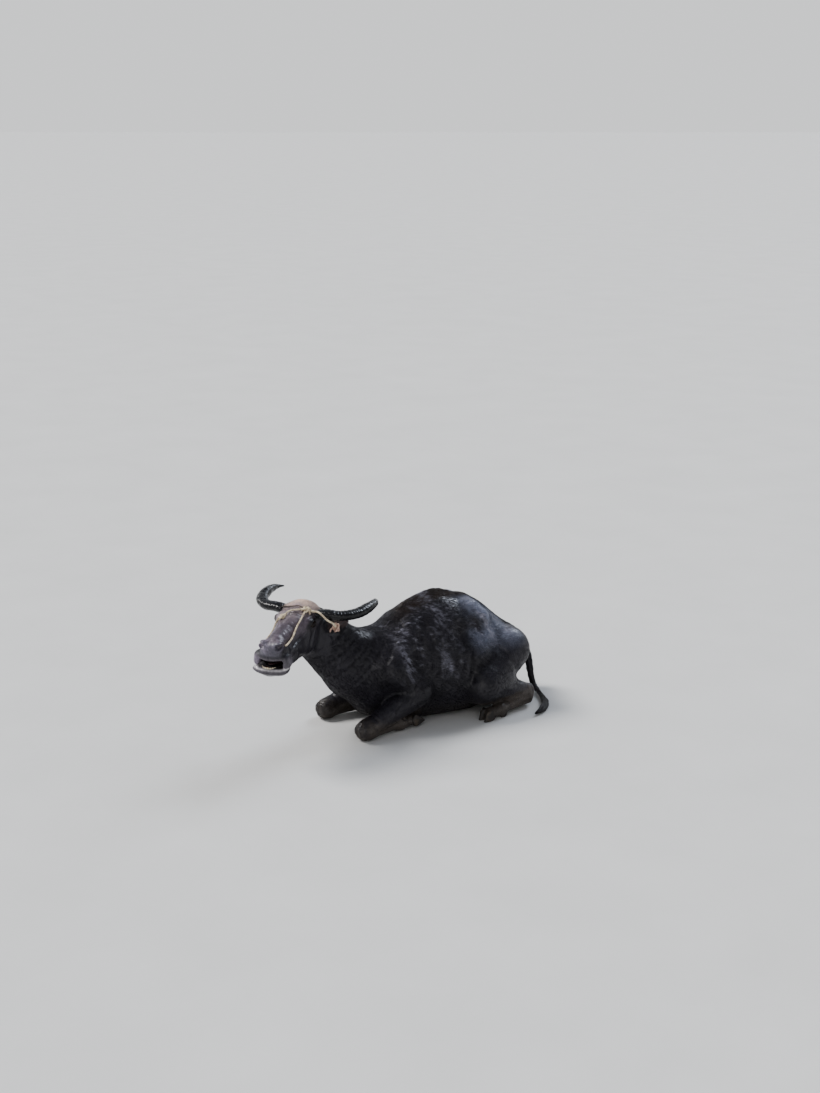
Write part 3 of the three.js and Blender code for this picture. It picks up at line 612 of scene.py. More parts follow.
@dataclass(frozen=True)
class BodyShape:
    """Every mass of flesh put together."""

    head: HeadShape = HeadShape()
    tail: TailShape = TailShape()
    legs: tuple[Leg, ...] = tuple(fold_legs())
    coat_depth: float = 0.003
    floor_level: float = 0.001
    floor_fillet: float = 0.012

    @cached_property
    def trunk(self) -> Clay:
        """Barrel, brisket, shoulders, hips, pins and tail head, with the hollow of each flank."""
        solid = Blend(0.055, (
            Torso(), Ball((0, -0.15, 0.235), (0.13, 0.13, 0.18)),
            *pairs(0, Cone((0.095, 0.075, 0.536), (0.15, -0.095, 0.35), 0.055, 0.088),
                   Cone((0.15, -0.095, 0.34), (0.185, 0.05, 0.235), 0.088, 0.08),
                   Ball((0.125, 0.66, 0.345), (0.095, 0.15, 0.125)),
                   Cone((0.12, 0.47, 0.6), (0.165, 0.515, 0.552), 0.052, 0.05),
                   Ball((0.088, 0.85, 0.342), (0.042, 0.042, 0.042))),
            Cone((0, 0.57, 0.54), (0, 0.83, 0.372), 0.046, 0.036)))
        return Hollow(0.06, solid, tuple(pairs(0, Ball((0.285, 0.385, 0.52), (0.085, 0.11, 0.085)))))

    @cached_property
    def neck(self) -> Clay:
        """Crest, core and throat."""
        return Blend(0.06, (
            bent((0, -0.01, 0.46), (-0.02, -0.235, 0.442), (-0.06, -0.47, 0.64), (0.086, 0.09, 0.084)),
            bent((0, -0.06, 0.4), (-0.015, -0.26, 0.43), (-0.05, -0.47, 0.6), (0.15, 0.14, 0.108)),
            bent((0, -0.13, 0.29), (-0.005, -0.29, 0.335), (-0.01, -0.5, 0.54), (0.145, 0.132, 0.096))))

    @cached_property
    def whole(self) -> Clay:
        """All flesh as one mass."""
        body = Blend(0.07, (self.trunk, self.neck))
        near_head = Near(InHead(self.head.clay), (-0.4, -1.2, 0.3), (0.5, -0.2, 1.0))
        body = Blend(0.045, (body, near_head))
        body = Blend(0.028, (body, *(Near(leg.clay, tuple(leg.axis.min(axis=0) - 0.25),
                                          tuple(leg.axis.max(axis=0) + 0.25)) for leg in self.legs)))
        return Blend(0.02, (body, self.tail.clay))

    def value(self, p: Grid) -> Grid:
        """Read the skin, drawn in by the coat's depth and standing on the floor, before its folds."""
        total = self.whole.value(p) + self.coat_depth
        floor = self.floor_level - p[:, 2]
        overlap = np.maximum(self.floor_fillet - np.abs(total - floor), 0) / self.floor_fillet
        return np.maximum(total, floor) + overlap * overlap * self.floor_fillet / 4

    def slopes(self, p: Grid, step: float = 0.0012) -> Grid:
        """Work out which way is out of the skin."""
        shifts = np.eye(3) * step
        rises = [self.value(p + shift) - self.value(p - shift) for shift in shifts]
        return np.stack(rises, axis=1) / (2 * step)

    def settle(self, p: Grid, rounds: int = 3, reach: float = 0.01) -> Grid:
        """Move places onto the skin.

        Args:
            p: Rows of places near the skin.
            rounds: How many corrections to make.
            reach: The furthest that one moves a place.
        Returns:
            The places on the skin.
        """
        for _ in range(rounds):
            slope = self.slopes(p)
            steep = np.maximum((slope**2).sum(axis=1), 0.05)
            shift = np.clip(self.value(p) / np.sqrt(steep), -reach, reach)
            p = p - unit(slope) * shift[:, None]
        return p

    def ray_out(self, start: Grid, direction: Grid, reach: float = 0.4) -> Grid:
        """Find where a straight line from inside first leaves the skin.

        Args:
            start: Where it starts.
            direction: The way that it runs.
            reach: How far to look.
        Returns:
            The place on the skin.
        """
        run = np.arange(0.0, reach, 0.001)
        values = self.value(start + unit(direction) * run[:, None])
        k = int(np.argmax(values > 0))
        share = values[k - 1] / (values[k - 1] - values[k]) if k else 0.0
        return start + unit(direction) * (run[max(k - 1, 0)] + 0.001 * share)


BODY = BodyShape()


@dataclass(frozen=True)
class Crease:
    """Line on the skin along which it sinks, or rises where the depth is negative."""

    line: Grid
    width: float
    depth: float

    def sink(self, p: Grid) -> Grid:
        """Work out how far the skin sinks, fading towards the line's two ends.

        Args:
            p: Rows of places.
        Returns:
            The depth at each.
        """
        out = np.zeros(len(p))
        reach = 2.6 * self.width
        held = ((p > self.line.min(axis=0) - reach) & (p < self.line.max(axis=0) + reach)).all(axis=1)
        if not held.any():
            return out
        near = p[held]
        best = np.full(len(near), 9.0)
        place = np.zeros(len(near))
        last = len(self.line) - 1
        for k in range(last):
            span = self.line[k + 1] - self.line[k]
            t = np.clip((near - self.line[k]) @ span / max(span @ span, 1e-12), 0, 1)
            away = np.linalg.norm(near - self.line[k] - t[:, None] * span, axis=1)
            closer = away < best
            best[closer] = away[closer]
            place[closer] = (k + t[closer]) / last
        fade = ramp(place, 0.0, 0.22) * ramp(place, 1.0, 0.78)
        out[held] = self.depth * np.exp(-(best / self.width)**2) * fade
        return out


# Folds as half width, depth and rough places; those of the face are in head axes
PHILTRUM = (0.0035, 0.0045, (0.285, 0, 0.012), (0.292, 0, -0.02), (0.288, 0, -0.052), (0.27, 0, -0.085))
FACE_FOLDS = (
    (0.006, 0.005, (0.236, 0.046, 0.04), (0.218, 0.064, 0.022),
     (0.222, 0.076, -0.004), (0.24, 0.082, -0.03)),
    (0.005, 0.003, (0.206, 0.056, 0.026), (0.192, 0.068, 0.004),
     (0.196, 0.078, -0.024), (0.21, 0.088, -0.048)),
    (0.008, 0.006, (0.03, 0.096, 0.008), (0.08, 0.082, -0.004),
     (0.13, 0.072, -0.018), (0.172, 0.07, -0.034)),
    (0.006, 0.004, (0.02, 0.1, -0.01), (0.06, 0.092, -0.026), (0.11, 0.082, -0.04)),
    (0.014, 0.005, (-0.06, 0.104, 0.01), (-0.01, 0.106, -0.04), (0.012, 0.094, -0.09), (0.0, 0.08, -0.13)),
    (0.006, -0.003, (0.272, 0.03, -0.086), (0.262, 0.064, -0.096),
     (0.23, 0.09, -0.092), (0.186, 0.094, -0.076)),
    (0.005, 0.003, (0.18, 0.086, -0.086), (0.156, 0.082, -0.098), (0.132, 0.078, -0.108)))
RIBS = tuple((0.014, 0.0034, (0.17, 0.15 + 0.052 * k, 0.56), (0.24, 0.14 + 0.052 * k, 0.44),
              (0.275, 0.11 + 0.052 * k, 0.33), (0.27, 0.07 + 0.052 * k, 0.22)) for k in range(5))
BODY_FOLDS = (
    *RIBS,
    (0.026, 0.008, (0.125, 0.15, 0.6), (0.175, 0.09, 0.5), (0.215, 0.04, 0.39)),
    (0.02, 0.007, (0.11, -0.03, 0.54), (0.165, -0.11, 0.45), (0.185, -0.17, 0.33)),
    (0.018, 0.011, (0.285, 0.395, 0.47), (0.3, 0.375, 0.38), (0.3, 0.36, 0.28), (0.29, 0.36, 0.19)),
    (0.015, 0.007, (0.27, 0.33, 0.4), (0.29, 0.32, 0.31), (0.29, 0.3, 0.21)),
    (0.018, 0.012, (0.06, 0.88, 0.3), (0.13, 0.85, 0.22), (0.18, 0.83, 0.13)),
    (0.02, 0.006, (0.24, 0.56, 0.42), (0.285, 0.6, 0.33), (0.3, 0.68, 0.23), (0.29, 0.74, 0.15)),
    (0.01, 0.006, (0.25, -0.02, 0.25), (0.262, -0.08, 0.19), (0.255, -0.15, 0.14)),
    (0.009, 0.005, (0.245, 0.04, 0.3), (0.268, -0.02, 0.24), (0.27, -0.08, 0.18)),
    (0.005, 0.004, (0.236, -0.25, 0.06), (0.232, -0.18, 0.052), (0.224, -0.11, 0.048)),
    (0.005, 0.004, (0.322, 0.72, 0.06), (0.345, 0.65, 0.056), (0.362, 0.58, 0.052)),
    (0.019, 0.007, (0.2, -0.36, 0.095), (0.204, -0.362, 0.06), (0.208, -0.35, 0.02)),
    (0.011, -0.005, (0.17, -0.335, 0.09), (0.172, -0.345, 0.06), (0.176, -0.335, 0.03)),
    (0.011, -0.006, (0.24, -0.33, 0.092), (0.244, -0.338, 0.062), (0.244, -0.33, 0.03)),
    (0.012, -0.008, (0.262, 0.8, 0.128), (0.268, 0.83, 0.1), (0.272, 0.828, 0.066)),
    (0.007, 0.006, (0.3, 0.79, 0.12), (0.312, 0.795, 0.08), (0.318, 0.77, 0.04)),
    (0.008, 0.007, (0.285, 0.74, 0.15), (0.295, 0.705, 0.16), (0.3, 0.66, 0.175)),
    (0.006, 0.004, (0.3, 0.735, 0.11), (0.315, 0.7, 0.1), (0.322, 0.66, 0.095)))
# Rings of folds round the left limbs: centre, way along the limb, radius, degrees either way, half
# width and depth
LIMB_RINGS = (
    ((0.206, -0.3, 0.088), (0, 0.3, 1), 0.056, 60, 0.0036, 0.003),
    ((0.206, -0.3, 0.072), (0, 0.2, 1), 0.058, 66, 0.0036, 0.0034),
    ((0.206, -0.3, 0.055), (0, 0.05, 1), 0.058, 60, 0.0036, 0.0034),
    ((0.206, -0.3, 0.038), (0, -0.1, 1), 0.056, 56, 0.0036, 0.003),
    ((0.2, -0.25, 0.11), (0, 0.9, 0.4), 0.06, 100, 0.005, 0.0036),
    ((0.2, -0.23, 0.118), (0, 0.9, 0.4), 0.062, 90, 0.005, 0.003),
    ((0.19, -0.05, 0.04), (0.05, 1, 0), 0.04, 110, 0.0036, 0.003),
    ((0.189, -0.028, 0.041), (0.05, 1, 0), 0.039, 100, 0.0036, 0.003),
    ((0.34, 0.508, 0.041), (0.08, -1, 0), 0.04, 110, 0.0036, 0.003),
    ((0.342, 0.486, 0.04), (0.08, -1, 0), 0.039, 100, 0.0036, 0.003),
    ((0.272, 0.745, 0.096), (0, 1, -0.5), 0.056, 100, 0.005, 0.0036),
    ((0.272, 0.722, 0.104), (0, 1, -0.5), 0.056, 90, 0.005, 0.0032))
# Arcs of folds round each eye: half length, half height, degrees from and to, half width, depth
LID_ARCS = (
    (0.03, 0.021, 20, 165, 0.0034, 0.005), (0.04, 0.031, 12, 172, 0.0042, 0.005),
    (0.052, 0.043, 15, 160, 0.005, 0.0044), (0.064, 0.056, 25, 150, 0.0056, 0.0036),
    (0.029, 0.02, 200, 345, 0.0034, 0.0042), (0.039, 0.029, 195, 335, 0.0042, 0.0042),
    (0.05, 0.039, 200, 320, 0.005, 0.0036))
# Wrinkles across the brow: place forward of their middle, bow, reach to each side, depth
BROW_WRINKLES = ((0.022, 0.01, 0.046, 0.0032), (-0.004, 0.014, 0.056, 0.0044),
                 (-0.03, 0.018, 0.062, 0.005), (-0.058, 0.02, 0.064, 0.0048))


@dataclass(frozen=True)
class Folds:
    """All folds, wrinkles and ridges of the skin that its masses don't hold."""

    body: BodyShape

    def lay(self, width: float, depth: float, *points: Sequence[float], in_head: bool = False) -> Crease:
        """Lay one crease on the skin.

        Args:
            width: Half its width.
            depth: How far the skin sinks.
            points: Rough places along it.
            in_head: Whether they are in head axes.
        Returns:
            The crease.
        """
        line = smooth_line(points, 3 * len(points) + 3)
        line = HEAD.outward(line) if in_head else line
        return Crease(self.body.settle(line, 5, 0.03), width, depth)

    def of_head(self) -> list[Crease]:
        """Lay the philtrum, nostril and cheek folds, lines round the eyes and wrinkles across the brow."""
        made = [self.lay(*PHILTRUM, in_head=True)]
        for _, side in SIDES:
            for width, depth, *run in FACE_FOLDS:
                made.append(self.lay(width, depth, *(mirror(at, side, 1) for at in run), in_head=True))
        for socket in SOCKETS.values():
            for long, high, start, end, width, depth in LID_ARCS:
                turn = np.radians(np.linspace(start, end, 7))
                ring = np.stack([np.cos(turn) * long, np.sin(turn) * high, np.full(7, socket.radius)], 1)
                made.append(self.lay(width, depth, *(socket.centre + ring @ socket.rows), in_head=True))
        for forward, bow, reach, depth in BROW_WRINKLES:
            run = [(forward - bow * a * a, a * reach, 0.09) for a in np.linspace(-1, 1, 7)]
            made.append(self.lay(0.0052, depth, *run, in_head=True))
        return made

    def of_body(self) -> list[Crease]:
        """Lay neck rings, spine and blade ridges, ribs, flank and thigh folds, tendons and limb rings."""
        made = []
        axis = smooth_line(((-0.05, -0.44, 0.59), (-0.02, -0.3, 0.47), (0, -0.15, 0.4)), 9)
        ahead, up, across = line_frames(axis, (0, 0, 1))
        for k in range(1, 8):
            for start, end in ((35, 150), (-150, -35)):
                turn = np.radians(np.linspace(start, end, 7))
                lean = 0.35 + 0.06 * (k % 3)
                ring = [self.body.ray_out(axis[k], up[k] * math.cos(a) + across[k] * math.sin(a)
                                          + ahead[k] * lean * math.cos(a)) for a in turn]
                made.append(self.lay(0.009, 0.003 + 0.0012 * (k % 2), *ring))
        made.append(self.lay(0.017, -0.01, *(self.back(y) for y in np.linspace(0.02, 0.44, 8))))
        for y in np.arange(0.08, 0.42, 0.052):
            knob = self.back(y)
            made.append(self.lay(0.012, -0.0035, knob - (0, 0.02, 0), knob, knob + (0, 0.02, 0)))
        for _, side in SIDES:
            for width, depth, *run in BODY_FOLDS:
                made.append(self.lay(width, depth, *(mirror(at, side) for at in run)))
            for centre, course, radius, reach, width, depth in LIMB_RINGS:
                way = unit(np.array(course, float))
                beside = (0.0, -1.0, 0.0) if abs(way[2]) > 0.9 else (0.0, 0.0, 1.0)
                beside = unit(np.cross(way, beside))
                above = np.cross(beside, way)
                ring = [np.array(centre) + radius * (math.cos(a) * above + math.sin(a) * beside)
                        for a in np.radians(np.linspace(-reach, reach, 7))]
                made.append(self.lay(width, depth, *(mirror(at, side) for at in ring)))
        return made

    def back(self, y: float) -> Grid:
        """The middle of the back at a place along the body."""
        return self.body.ray_out(np.array((0, y, 0.4)), np.array((0, 0, 1.0)))


@dataclass
class SkinCast:
    """Casts the clay as one closed mesh whose cells are smallest round the face."""

    body: BodyShape
    focus: Triple = (0.085, 0.0, -0.01)
    near: float = 0.6
    far: float = 1.2
    finest: float = 0.29
    cell: float = 0.013
    block: int = 6
    low: Triple = (-0.43, -1.02, -0.02)
    high: Triple = (0.43, 1.06, 0.84)
    portion: int = 120000
    corners: tuple[tuple[int, ...], ...] = tuple(np.ndindex(2, 2, 2))

    def __post_init__(self) -> None:
        """Work out how lengths from the focus are stretched."""
        self.centre = HEAD.outward(np.array(self.focus))
        self.table = np.arange(0.0, 5.0, 0.001)
        slope = self.finest + (1 - self.finest) * ramp(self.table, self.near, self.far)
        self.drawn = np.concatenate([[0.0], np.cumsum((slope[1:] + slope[:-1]) / 2 * 0.001)])

    def drawn_in(self, q: Grid) -> Grid:
        """Bring places of the stretched grid back to the world."""
        offset = q - self.centre
        away = np.maximum(np.linalg.norm(offset, axis=1), 1e-9)
        return self.centre + offset * (np.interp(away, self.table, self.drawn) / away)[:, None]

    def grid_value(self, q: Grid) -> Grid:
        """Value of the clay at places of the stretched grid, in portions."""
        parts = np.array_split(q, len(q) // self.portion + 1)
        return np.concatenate([self.body.value(self.drawn_in(part)) for part in parts])

    def fill(self) -> tuple[Grid, Grid]:
        """Read the clay on a grid, closely only near the skin.

        Returns:
            The values on the grid, and its lowest corner.
        """
        below, above = (np.interp(gap, self.drawn, self.table)
                        for gap in (self.centre - np.array(self.low), np.array(self.high) - self.centre))
        start = self.centre - below
        size = below + above
        blocks = np.ceil(size / (self.cell * self.block)).astype(int) + 1
        corner = np.stack(np.meshgrid(*[np.arange(n + 1) for n in blocks], indexing="ij"), axis=-1)
        corner_at = start + corner.reshape(-1, 3) * self.cell * self.block
        values = self.grid_value(corner_at).reshape(corner.shape[:3])
        away = np.linalg.norm(corner_at - self.centre, axis=1)
        local = (np.interp(away, self.table, self.drawn) / np.maximum(away, 1e-9)).reshape(values.shape)
        close = np.abs(values) < 1.5 * self.block * self.cell * np.maximum(local, self.finest) * 1.3 + 0.012
        mask = np.zeros(tuple(blocks), bool)
        for i, j, k in self.corners:
            mask |= close[i:i + blocks[0], j:j + blocks[1], k:k + blocks[2]]
        for axis in range(3):
            values = np.repeat(values, self.block, axis=axis)
            mask = np.repeat(mask, self.block, axis=axis)
        shape = tuple(blocks * self.block + 1)
        values = values[:shape[0], :shape[1], :shape[2]].copy()
        wide = np.zeros(shape, bool)
        for i, j, k in self.corners:
            wide[i:i + mask.shape[0], j:j + mask.shape[1], k:k + mask.shape[2]] |= mask
        values[wide] = self.grid_value(start + np.argwhere(wide) * self.cell)
        return values, start

    def net(self) -> tuple[Grid, Grid]:
        """Stretch a net of quads over the places where the clay's value changes sign.

        Returns:
            Corner places in the world, and the quads as rows of four corners.
        """
        values, start = self.fill()
        inside = values < 0
        shape = np.array(values.shape) - 1
        held = sum(inside[i:i + shape[0], j:j + shape[1], k:k + shape[2]].astype(np.int8)
                   for i, j, k in self.corners)
        cells = np.argwhere((held > 0) & (held < 8))
        index = np.full(tuple(shape), -1, np.int64)
        index[tuple(cells.T)] = np.arange(len(cells))
        total = np.zeros((len(cells), 3))
        count = np.zeros(len(cells))
        for corner, axis in [(corner, axis) for corner in self.corners for axis in range(3)]:
            if corner[axis]:
                continue
            a = values[tuple((cells + corner).T)]
            b = values[tuple((cells + corner + np.eye(3, dtype=int)[axis]).T)]
            cross = (a < 0) != (b < 0)
            place = np.tile(np.array(corner, float), (len(cells), 1))
            place[:, axis] = np.where(cross, a / np.where(cross, a - b, 1.0), 0.0)
            total += place * cross[:, None]
            count += cross
        at = self.drawn_in(start + (cells + total / count[:, None]) * self.cell)
        quads = []
        for axis in range(3):
            change = inside != np.roll(inside, -1, axis=axis)
            trim = [slice(1, -1)] * 3
            trim[axis] = slice(0, -1)
            mark = np.zeros_like(change)
            mark[tuple(trim)] = change[tuple(trim)]
            edges = np.argwhere(mark)
            ring = []
            for back in ((0, 0), (1, 0), (1, 1), (0, 1)):
                cell = edges.copy()
                cell[:, [(axis + 1) % 3, (axis + 2) % 3]] -= back
                ring.append(index[tuple(cell.T)])
            ring = np.stack(ring, axis=1)
            outwards = inside[tuple(edges.T)]
            ring[~outwards] = ring[~outwards][:, ::-1]
            quads.append(ring)
        return at, np.vstack(quads)

    def cast(self, folds: Folds) -> tuple[Grid, Grid, Grid]:
        """Make the finished skin.

        Args:
            folds: The creases to press into it.
        Returns:
            Corner places, outward directions and quads.
        """
        at, quads = self.net()
        LOG.info("net of %d quads", len(quads))
        at = self.body.settle(at, 2, 0.004)
        links = np.vstack([quads[:, [k, (k + 1) % 4]] for k in range(4)])
        count = np.bincount(links[:, 0], minlength=len(at))[:, None]
        for _ in range(2):
            total = [np.bincount(links[:, 0], at[links[:, 1], axis], len(at)) for axis in range(3)]
            at = at + 0.5 * (np.stack(total, axis=1) / np.maximum(count, 1) - at)
            at = self.body.settle(at, 1, 0.003)
        out = unit(self.body.slopes(at))
        sink = np.zeros(len(at))
        for crease in folds.of_head() + folds.of_body():
            sink += crease.sink(at)
        sink += 0.001 * ripple(at, 0.05, 3) + 0.0006 * ripple(at, 0.02, 4)
        sink *= ramp(at[:, 2], 0.002, 0.02)
        return at - out * sink[:, None], out, quads


# Blender meshes

def place_shift() -> Grid:
    """Find how far the frame has the animal from where it is worked out, by its left eye."""
    low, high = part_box("eye_left")
    return (np.array(low) + np.array(high)) / 2 - HEAD.outward(SOCKETS["left"].centre)


SHIFT = place_shift()


def mesh_piece(name: str, shell: tuple[Grid, Sequence[Grid]], smooth: bool = True) -> Piece:
    """Make an object in the scene.

    Args:
        name: The piece's name.
        shell: Corner places before the shift to the frame, and arrays of faces.
        smooth: Whether it is shaded smoothly.
    Returns:
        The new object.
    """
    at, faces = shell
    mesh = bpy.data.meshes.new(name)
    mesh.vertices.add(len(at))
    mesh.vertices.foreach_set("co", (at + SHIFT).astype(np.float32).ravel())
    loops = np.concatenate([group.ravel() for group in faces]).astype(np.int32)
    sizes = np.concatenate([np.full(len(group), group.shape[1]) for group in faces])
    mesh.loops.add(len(loops))
    mesh.loops.foreach_set("vertex_index", loops)
    mesh.polygons.add(len(sizes))
    mesh.polygons.foreach_set("loop_start", np.concatenate([[0], np.cumsum(sizes)[:-1]]).astype(np.int32))
    mesh.polygons.foreach_set("use_smooth", np.full(len(sizes), smooth))
    mesh.update(calc_edges=True)
    mesh.validate()
    piece = bpy.data.objects.new(name, mesh)
    bpy.context.scene.collection.objects.link(piece)
    return piece


@dataclass(frozen=True)
class Dress:
    """How a piece is finished."""

    material: Material
    slot: str

    def make(self, name: str, shell: Shell, tones: Grid | None = None, maps: dict[str, Grid] | None = None,
             nodes: Sequence[str] = ()) -> Piece:
        """Make a piece, dress it, tie it to the body and let it stand for nodes of the frame.

        Args:
            name: The piece's name.
            shell: Its corner places and faces.
            tones: Red, green and blue for each corner place.
            maps: UV maps by name, each with two numbers for each corner place.
            nodes: The frame's nodes that it stands for.
        Returns:
            The piece.
        """
        piece = mesh_piece(name, shell)
        if tones is not None:
            layer = piece.data.color_attributes.new(TONE, "FLOAT_COLOR", "POINT")
            full = np.concatenate([tones, np.ones((len(tones), 1))], axis=1)
            layer.data.foreach_set("color", full.astype(np.float32).ravel())
        loops = np.empty(len(piece.data.loops), np.int32)
        piece.data.loops.foreach_get("vertex_index", loops)
        for key, places in (maps or {}).items():
            layer = piece.data.uv_layers.new(name=key)
            layer.data.foreach_set("uv", places[loops].astype(np.float32).ravel())
        piece.data.materials.append(self.material)
        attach(piece, "root")
        if nodes:
            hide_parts(*nodes)
        LOG.info("%s: %d faces", name, len(piece.data.polygons))
        return piece


def tube(line: Grid, widths: Grid, heights: Grid, upright: Sequence[float], around: int) -> Shell:
    """Wrap an oval tube with closed ends round a line.

    Args:
        line: Rows of places along the middle.
        widths: Half width at each place.
        heights: Half height at each place.
        upright: The way that height is measured.
        around: Corners round the tube.
    Returns:
        The tube.
    """
    _, first, second = line_frames(line, upright)
    turn = np.linspace(0, 2 * math.pi, around, endpoint=False)
    ring = (first[:, None] * np.cos(turn)[None, :, None] * np.asarray(heights)[:, None, None]
            + second[:, None] * np.sin(turn)[None, :, None] * np.asarray(widths)[:, None, None])
    at = (line[:, None] + ring).reshape(-1, 3)
    return close_rings(at, len(line), around)


def close_rings(at: Grid, rows: int, around: int) -> Shell:
    """Join rows of rings into a closed surface.

    Args:
        at: Corner places, ring after ring.
        rows: Number of rings.
        around: Corners in each ring.
    Returns:
        The surface, with the two end points added.
    """
    row, column = np.meshgrid(np.arange(rows - 1), np.arange(around), indexing="ij")
    after = (column + 1) % around
    quads = np.stack([row * around + column, row * around + after, (row + 1) * around + after,
                      (row + 1) * around + column], axis=-1).reshape(-1, 4)
    first, last = len(at), len(at) + 1
    ring = np.arange(around)
    start = np.stack([np.full(around, first), (ring + 1) % around, ring], axis=1)
    base = (rows - 1) * around
    end = np.stack([np.full(around, last), base + ring, base + (ring + 1) % around], axis=1)
    ends = np.stack([at[:around].mean(axis=0), at[-around:].mean(axis=0)])
    return np.vstack([at, ends]), [quads, np.vstack([start, end])]


def joined(parts: Sequence[Shell]) -> Shell:
    """Put several meshes into one.

    Args:
        parts: The meshes.
    Returns:
        All of them as one.
    """
    places, faces, base = [], [], 0
    for at, groups in parts:
        places.append(at)
        faces += [group + base for group in groups]
        base += len(at)
    return np.vstack(places), faces


# Materials

TONE = "hide_tone"
BAKE_MAP = "OFBake"


class Nodes:
    """Short way to put the nodes of one tree together."""

    def __init__(self, tree: bpy.types.NodeTree) -> None:
        """Take the tree."""
        self.tree = tree

    def put(self, kind: str, output: str | int, inputs: dict | None = None, **settings: object) -> object:
        """Add a node.

        Args:
            kind: The node's type without its common beginning.
            output: The output that is wanted.
            inputs: Values or sockets for its inputs.
            settings: Its other settings.
        Returns:
            The output's socket.
        """
        node = self.tree.nodes.new("ShaderNode" + kind)
        for name, value in settings.items():
            setattr(node, name, value)
        self.feed(node, inputs or {})
        return node.outputs[output]

    def feed(self, node: bpy.types.Node, inputs: dict) -> None:
        """Set or link inputs of a node.

        Args:
            node: The node.
            inputs: Values or sockets by the inputs' names.
        """
        for name, value in inputs.items():
            if isinstance(value, bpy.types.NodeSocket):
                self.tree.links.new(value, node.inputs[name])
            else:
                node.inputs[name].default_value = value

    def mixed(self, share: object, one: object, two: object) -> object:
        """Mix two colours."""
        return self.put("Mix", 2, {0: share, 6: one, 7: two}, data_type="RGBA")


class Finish(Nodes):
    """A material; each kind of it says how it is mixed."""

    name = ""

    def __init__(self, **values: object) -> None:
        """Make the material, with values in place of those of its class."""
        vars(self).update(values)
        self.material = bpy.data.materials.new(self.name)
        self.material.use_nodes = True
        super().__init__(self.material.node_tree)
        self.mix()

    def mix(self) -> None:
        """Put the nodes together."""

    def main(self, **inputs: object) -> None:
        """Feed the main shader; an underscore stands for a space."""
        plain = {name.replace("_", " "): value for name, value in inputs.items()}
        self.feed(self.tree.nodes["Principled BSDF"], plain)

    def noise(self, scale: float, detail: float = 4.0, vector: object = None) -> object:
        """Patchy number from 0 to 1."""
        return self.put("TexNoise", "Fac", {"Scale": scale, "Detail": detail, "Roughness": 0.55,
                                            "Vector": vector or self.places()})

    def places(self) -> object:
        """Object places."""
        return self.put("TexCoord", "Object")

    def stretched(self, scale: Triple, vector: object = None) -> object:
        """Places stretched by a factor for each axis."""
        return self.put("Mapping", "Vector", {"Vector": vector or self.places(), "Scale": scale})

    def warped(self, amount: float, scale: float) -> object:
        """Object places pushed about by noise."""
        push = self.put("TexNoise", "Color", {"Scale": scale, "Vector": self.places()})
        push = self.times(push, amount)
        return self.put("VectorMath", "Vector", {0: self.places(), 1: push}, operation="ADD")

    def fit(self, value: object, low: float, high: float, start: float = 0.3, end: float = 0.7) -> object:
        """Map a number from one range to another."""
        return self.put("MapRange", "Result", {"From Min": start, "From Max": end, "To Min": low,
                                               "To Max": high, "Value": value})

    def times(self, colour: object, factor: object) -> object:
        """Multiply a colour by a number."""
        return self.put("VectorMath", "Vector", {"Vector": colour, "Scale": factor}, operation="SCALE")

    def sums(self, one: object, two: object) -> object:
        """Add two numbers."""
        return self.put("Math", 0, {0: one, 1: two})

    def tone(self) -> object:
        """Colour that the piece carries."""
        return self.put("Attribute", "Color", attribute_name=TONE)

    def map_place(self, name: str) -> object:
        """Places of a UV map."""
        return self.put("UVMap", "UV", uv_map=name)

    def bump(self, height: object, distance: float, strength: float = 1.0, under: object = None) -> object:
        """Turn heights into a bumped direction."""
        inputs = {"Height": height, "Distance": distance, "Strength": strength}
        return self.put("Bump", "Normal", inputs | ({"Normal": under} if under else {}))


class HideFinish(Finish):
    """Wet, near-black hide with pores, fine cracks and flat short hair."""

    name = "wet_hide"

    def mix(self) -> None:
        """Mix the tones, the wet film and three layers of bumps."""
        patch = self.fit(self.noise(5.0, 5.0), 0.66, 1.4)
        speck = self.fit(self.noise(90.0), 0.76, 1.28)
        tone = self.times(self.times(self.tone(), patch), speck)
        cracks = self.put("TexVoronoi", "Distance", {"Scale": 230.0, "Vector": self.warped(0.01, 60.0)},
                          feature="DISTANCE_TO_EDGE")
        hair = self.noise(420.0, 3.0, self.stretched((1.0, 0.16, 0.55)))
        fold = self.noise(34.0, 6.0, self.stretched((1.0, 1.6, 0.7)))
        # Painted shade: near black in the fine cracks
        tone = self.mixed(self.fit(cracks, 0.16, 0.0, 0.0, 0.1), tone, (0.003, 0.003, 0.004, 1.0))
        rough = self.sums(self.fit(self.noise(9.0), 0.27, 0.48), self.fit(hair, -0.06, 0.08))
        normal = self.bump(fold, 0.0022, 0.8)
        normal = self.bump(self.fit(cracks, 0.0, 1.0, 0.0, 0.22), 0.00016, 0.6, normal)
        self.main(Base_Color=tone, Roughness=rough, Normal=self.bump(hair, 0.0006, 0.7, normal),
                  Coat_Weight=0.1, Coat_Roughness=0.18, Specular_IOR_Level=0.42)


class CoatFinish(Finish):
    """Hair of the coat: the hide's markings and painted light, a little lighter and drier."""

    name = "coat_hair"
    lift = 1.45

    def mix(self) -> None:
        """Mix patches and single hairs over the tones."""
        patch = self.fit(self.noise(5.0, 5.0), 0.66, 1.4)
        strand = self.fit(self.noise(260.0, 2.0), 0.7 * self.lift, 1.3 * self.lift)
        self.main(Base_Color=self.times(self.times(self.tone(), patch), strand), Specular_IOR_Level=0.4,
                  Roughness=self.fit(self.noise(90.0, 2.0), 0.3, 0.5),
                  Normal=self.bump(self.noise(900.0, 2.0), 0.0004, 0.6))


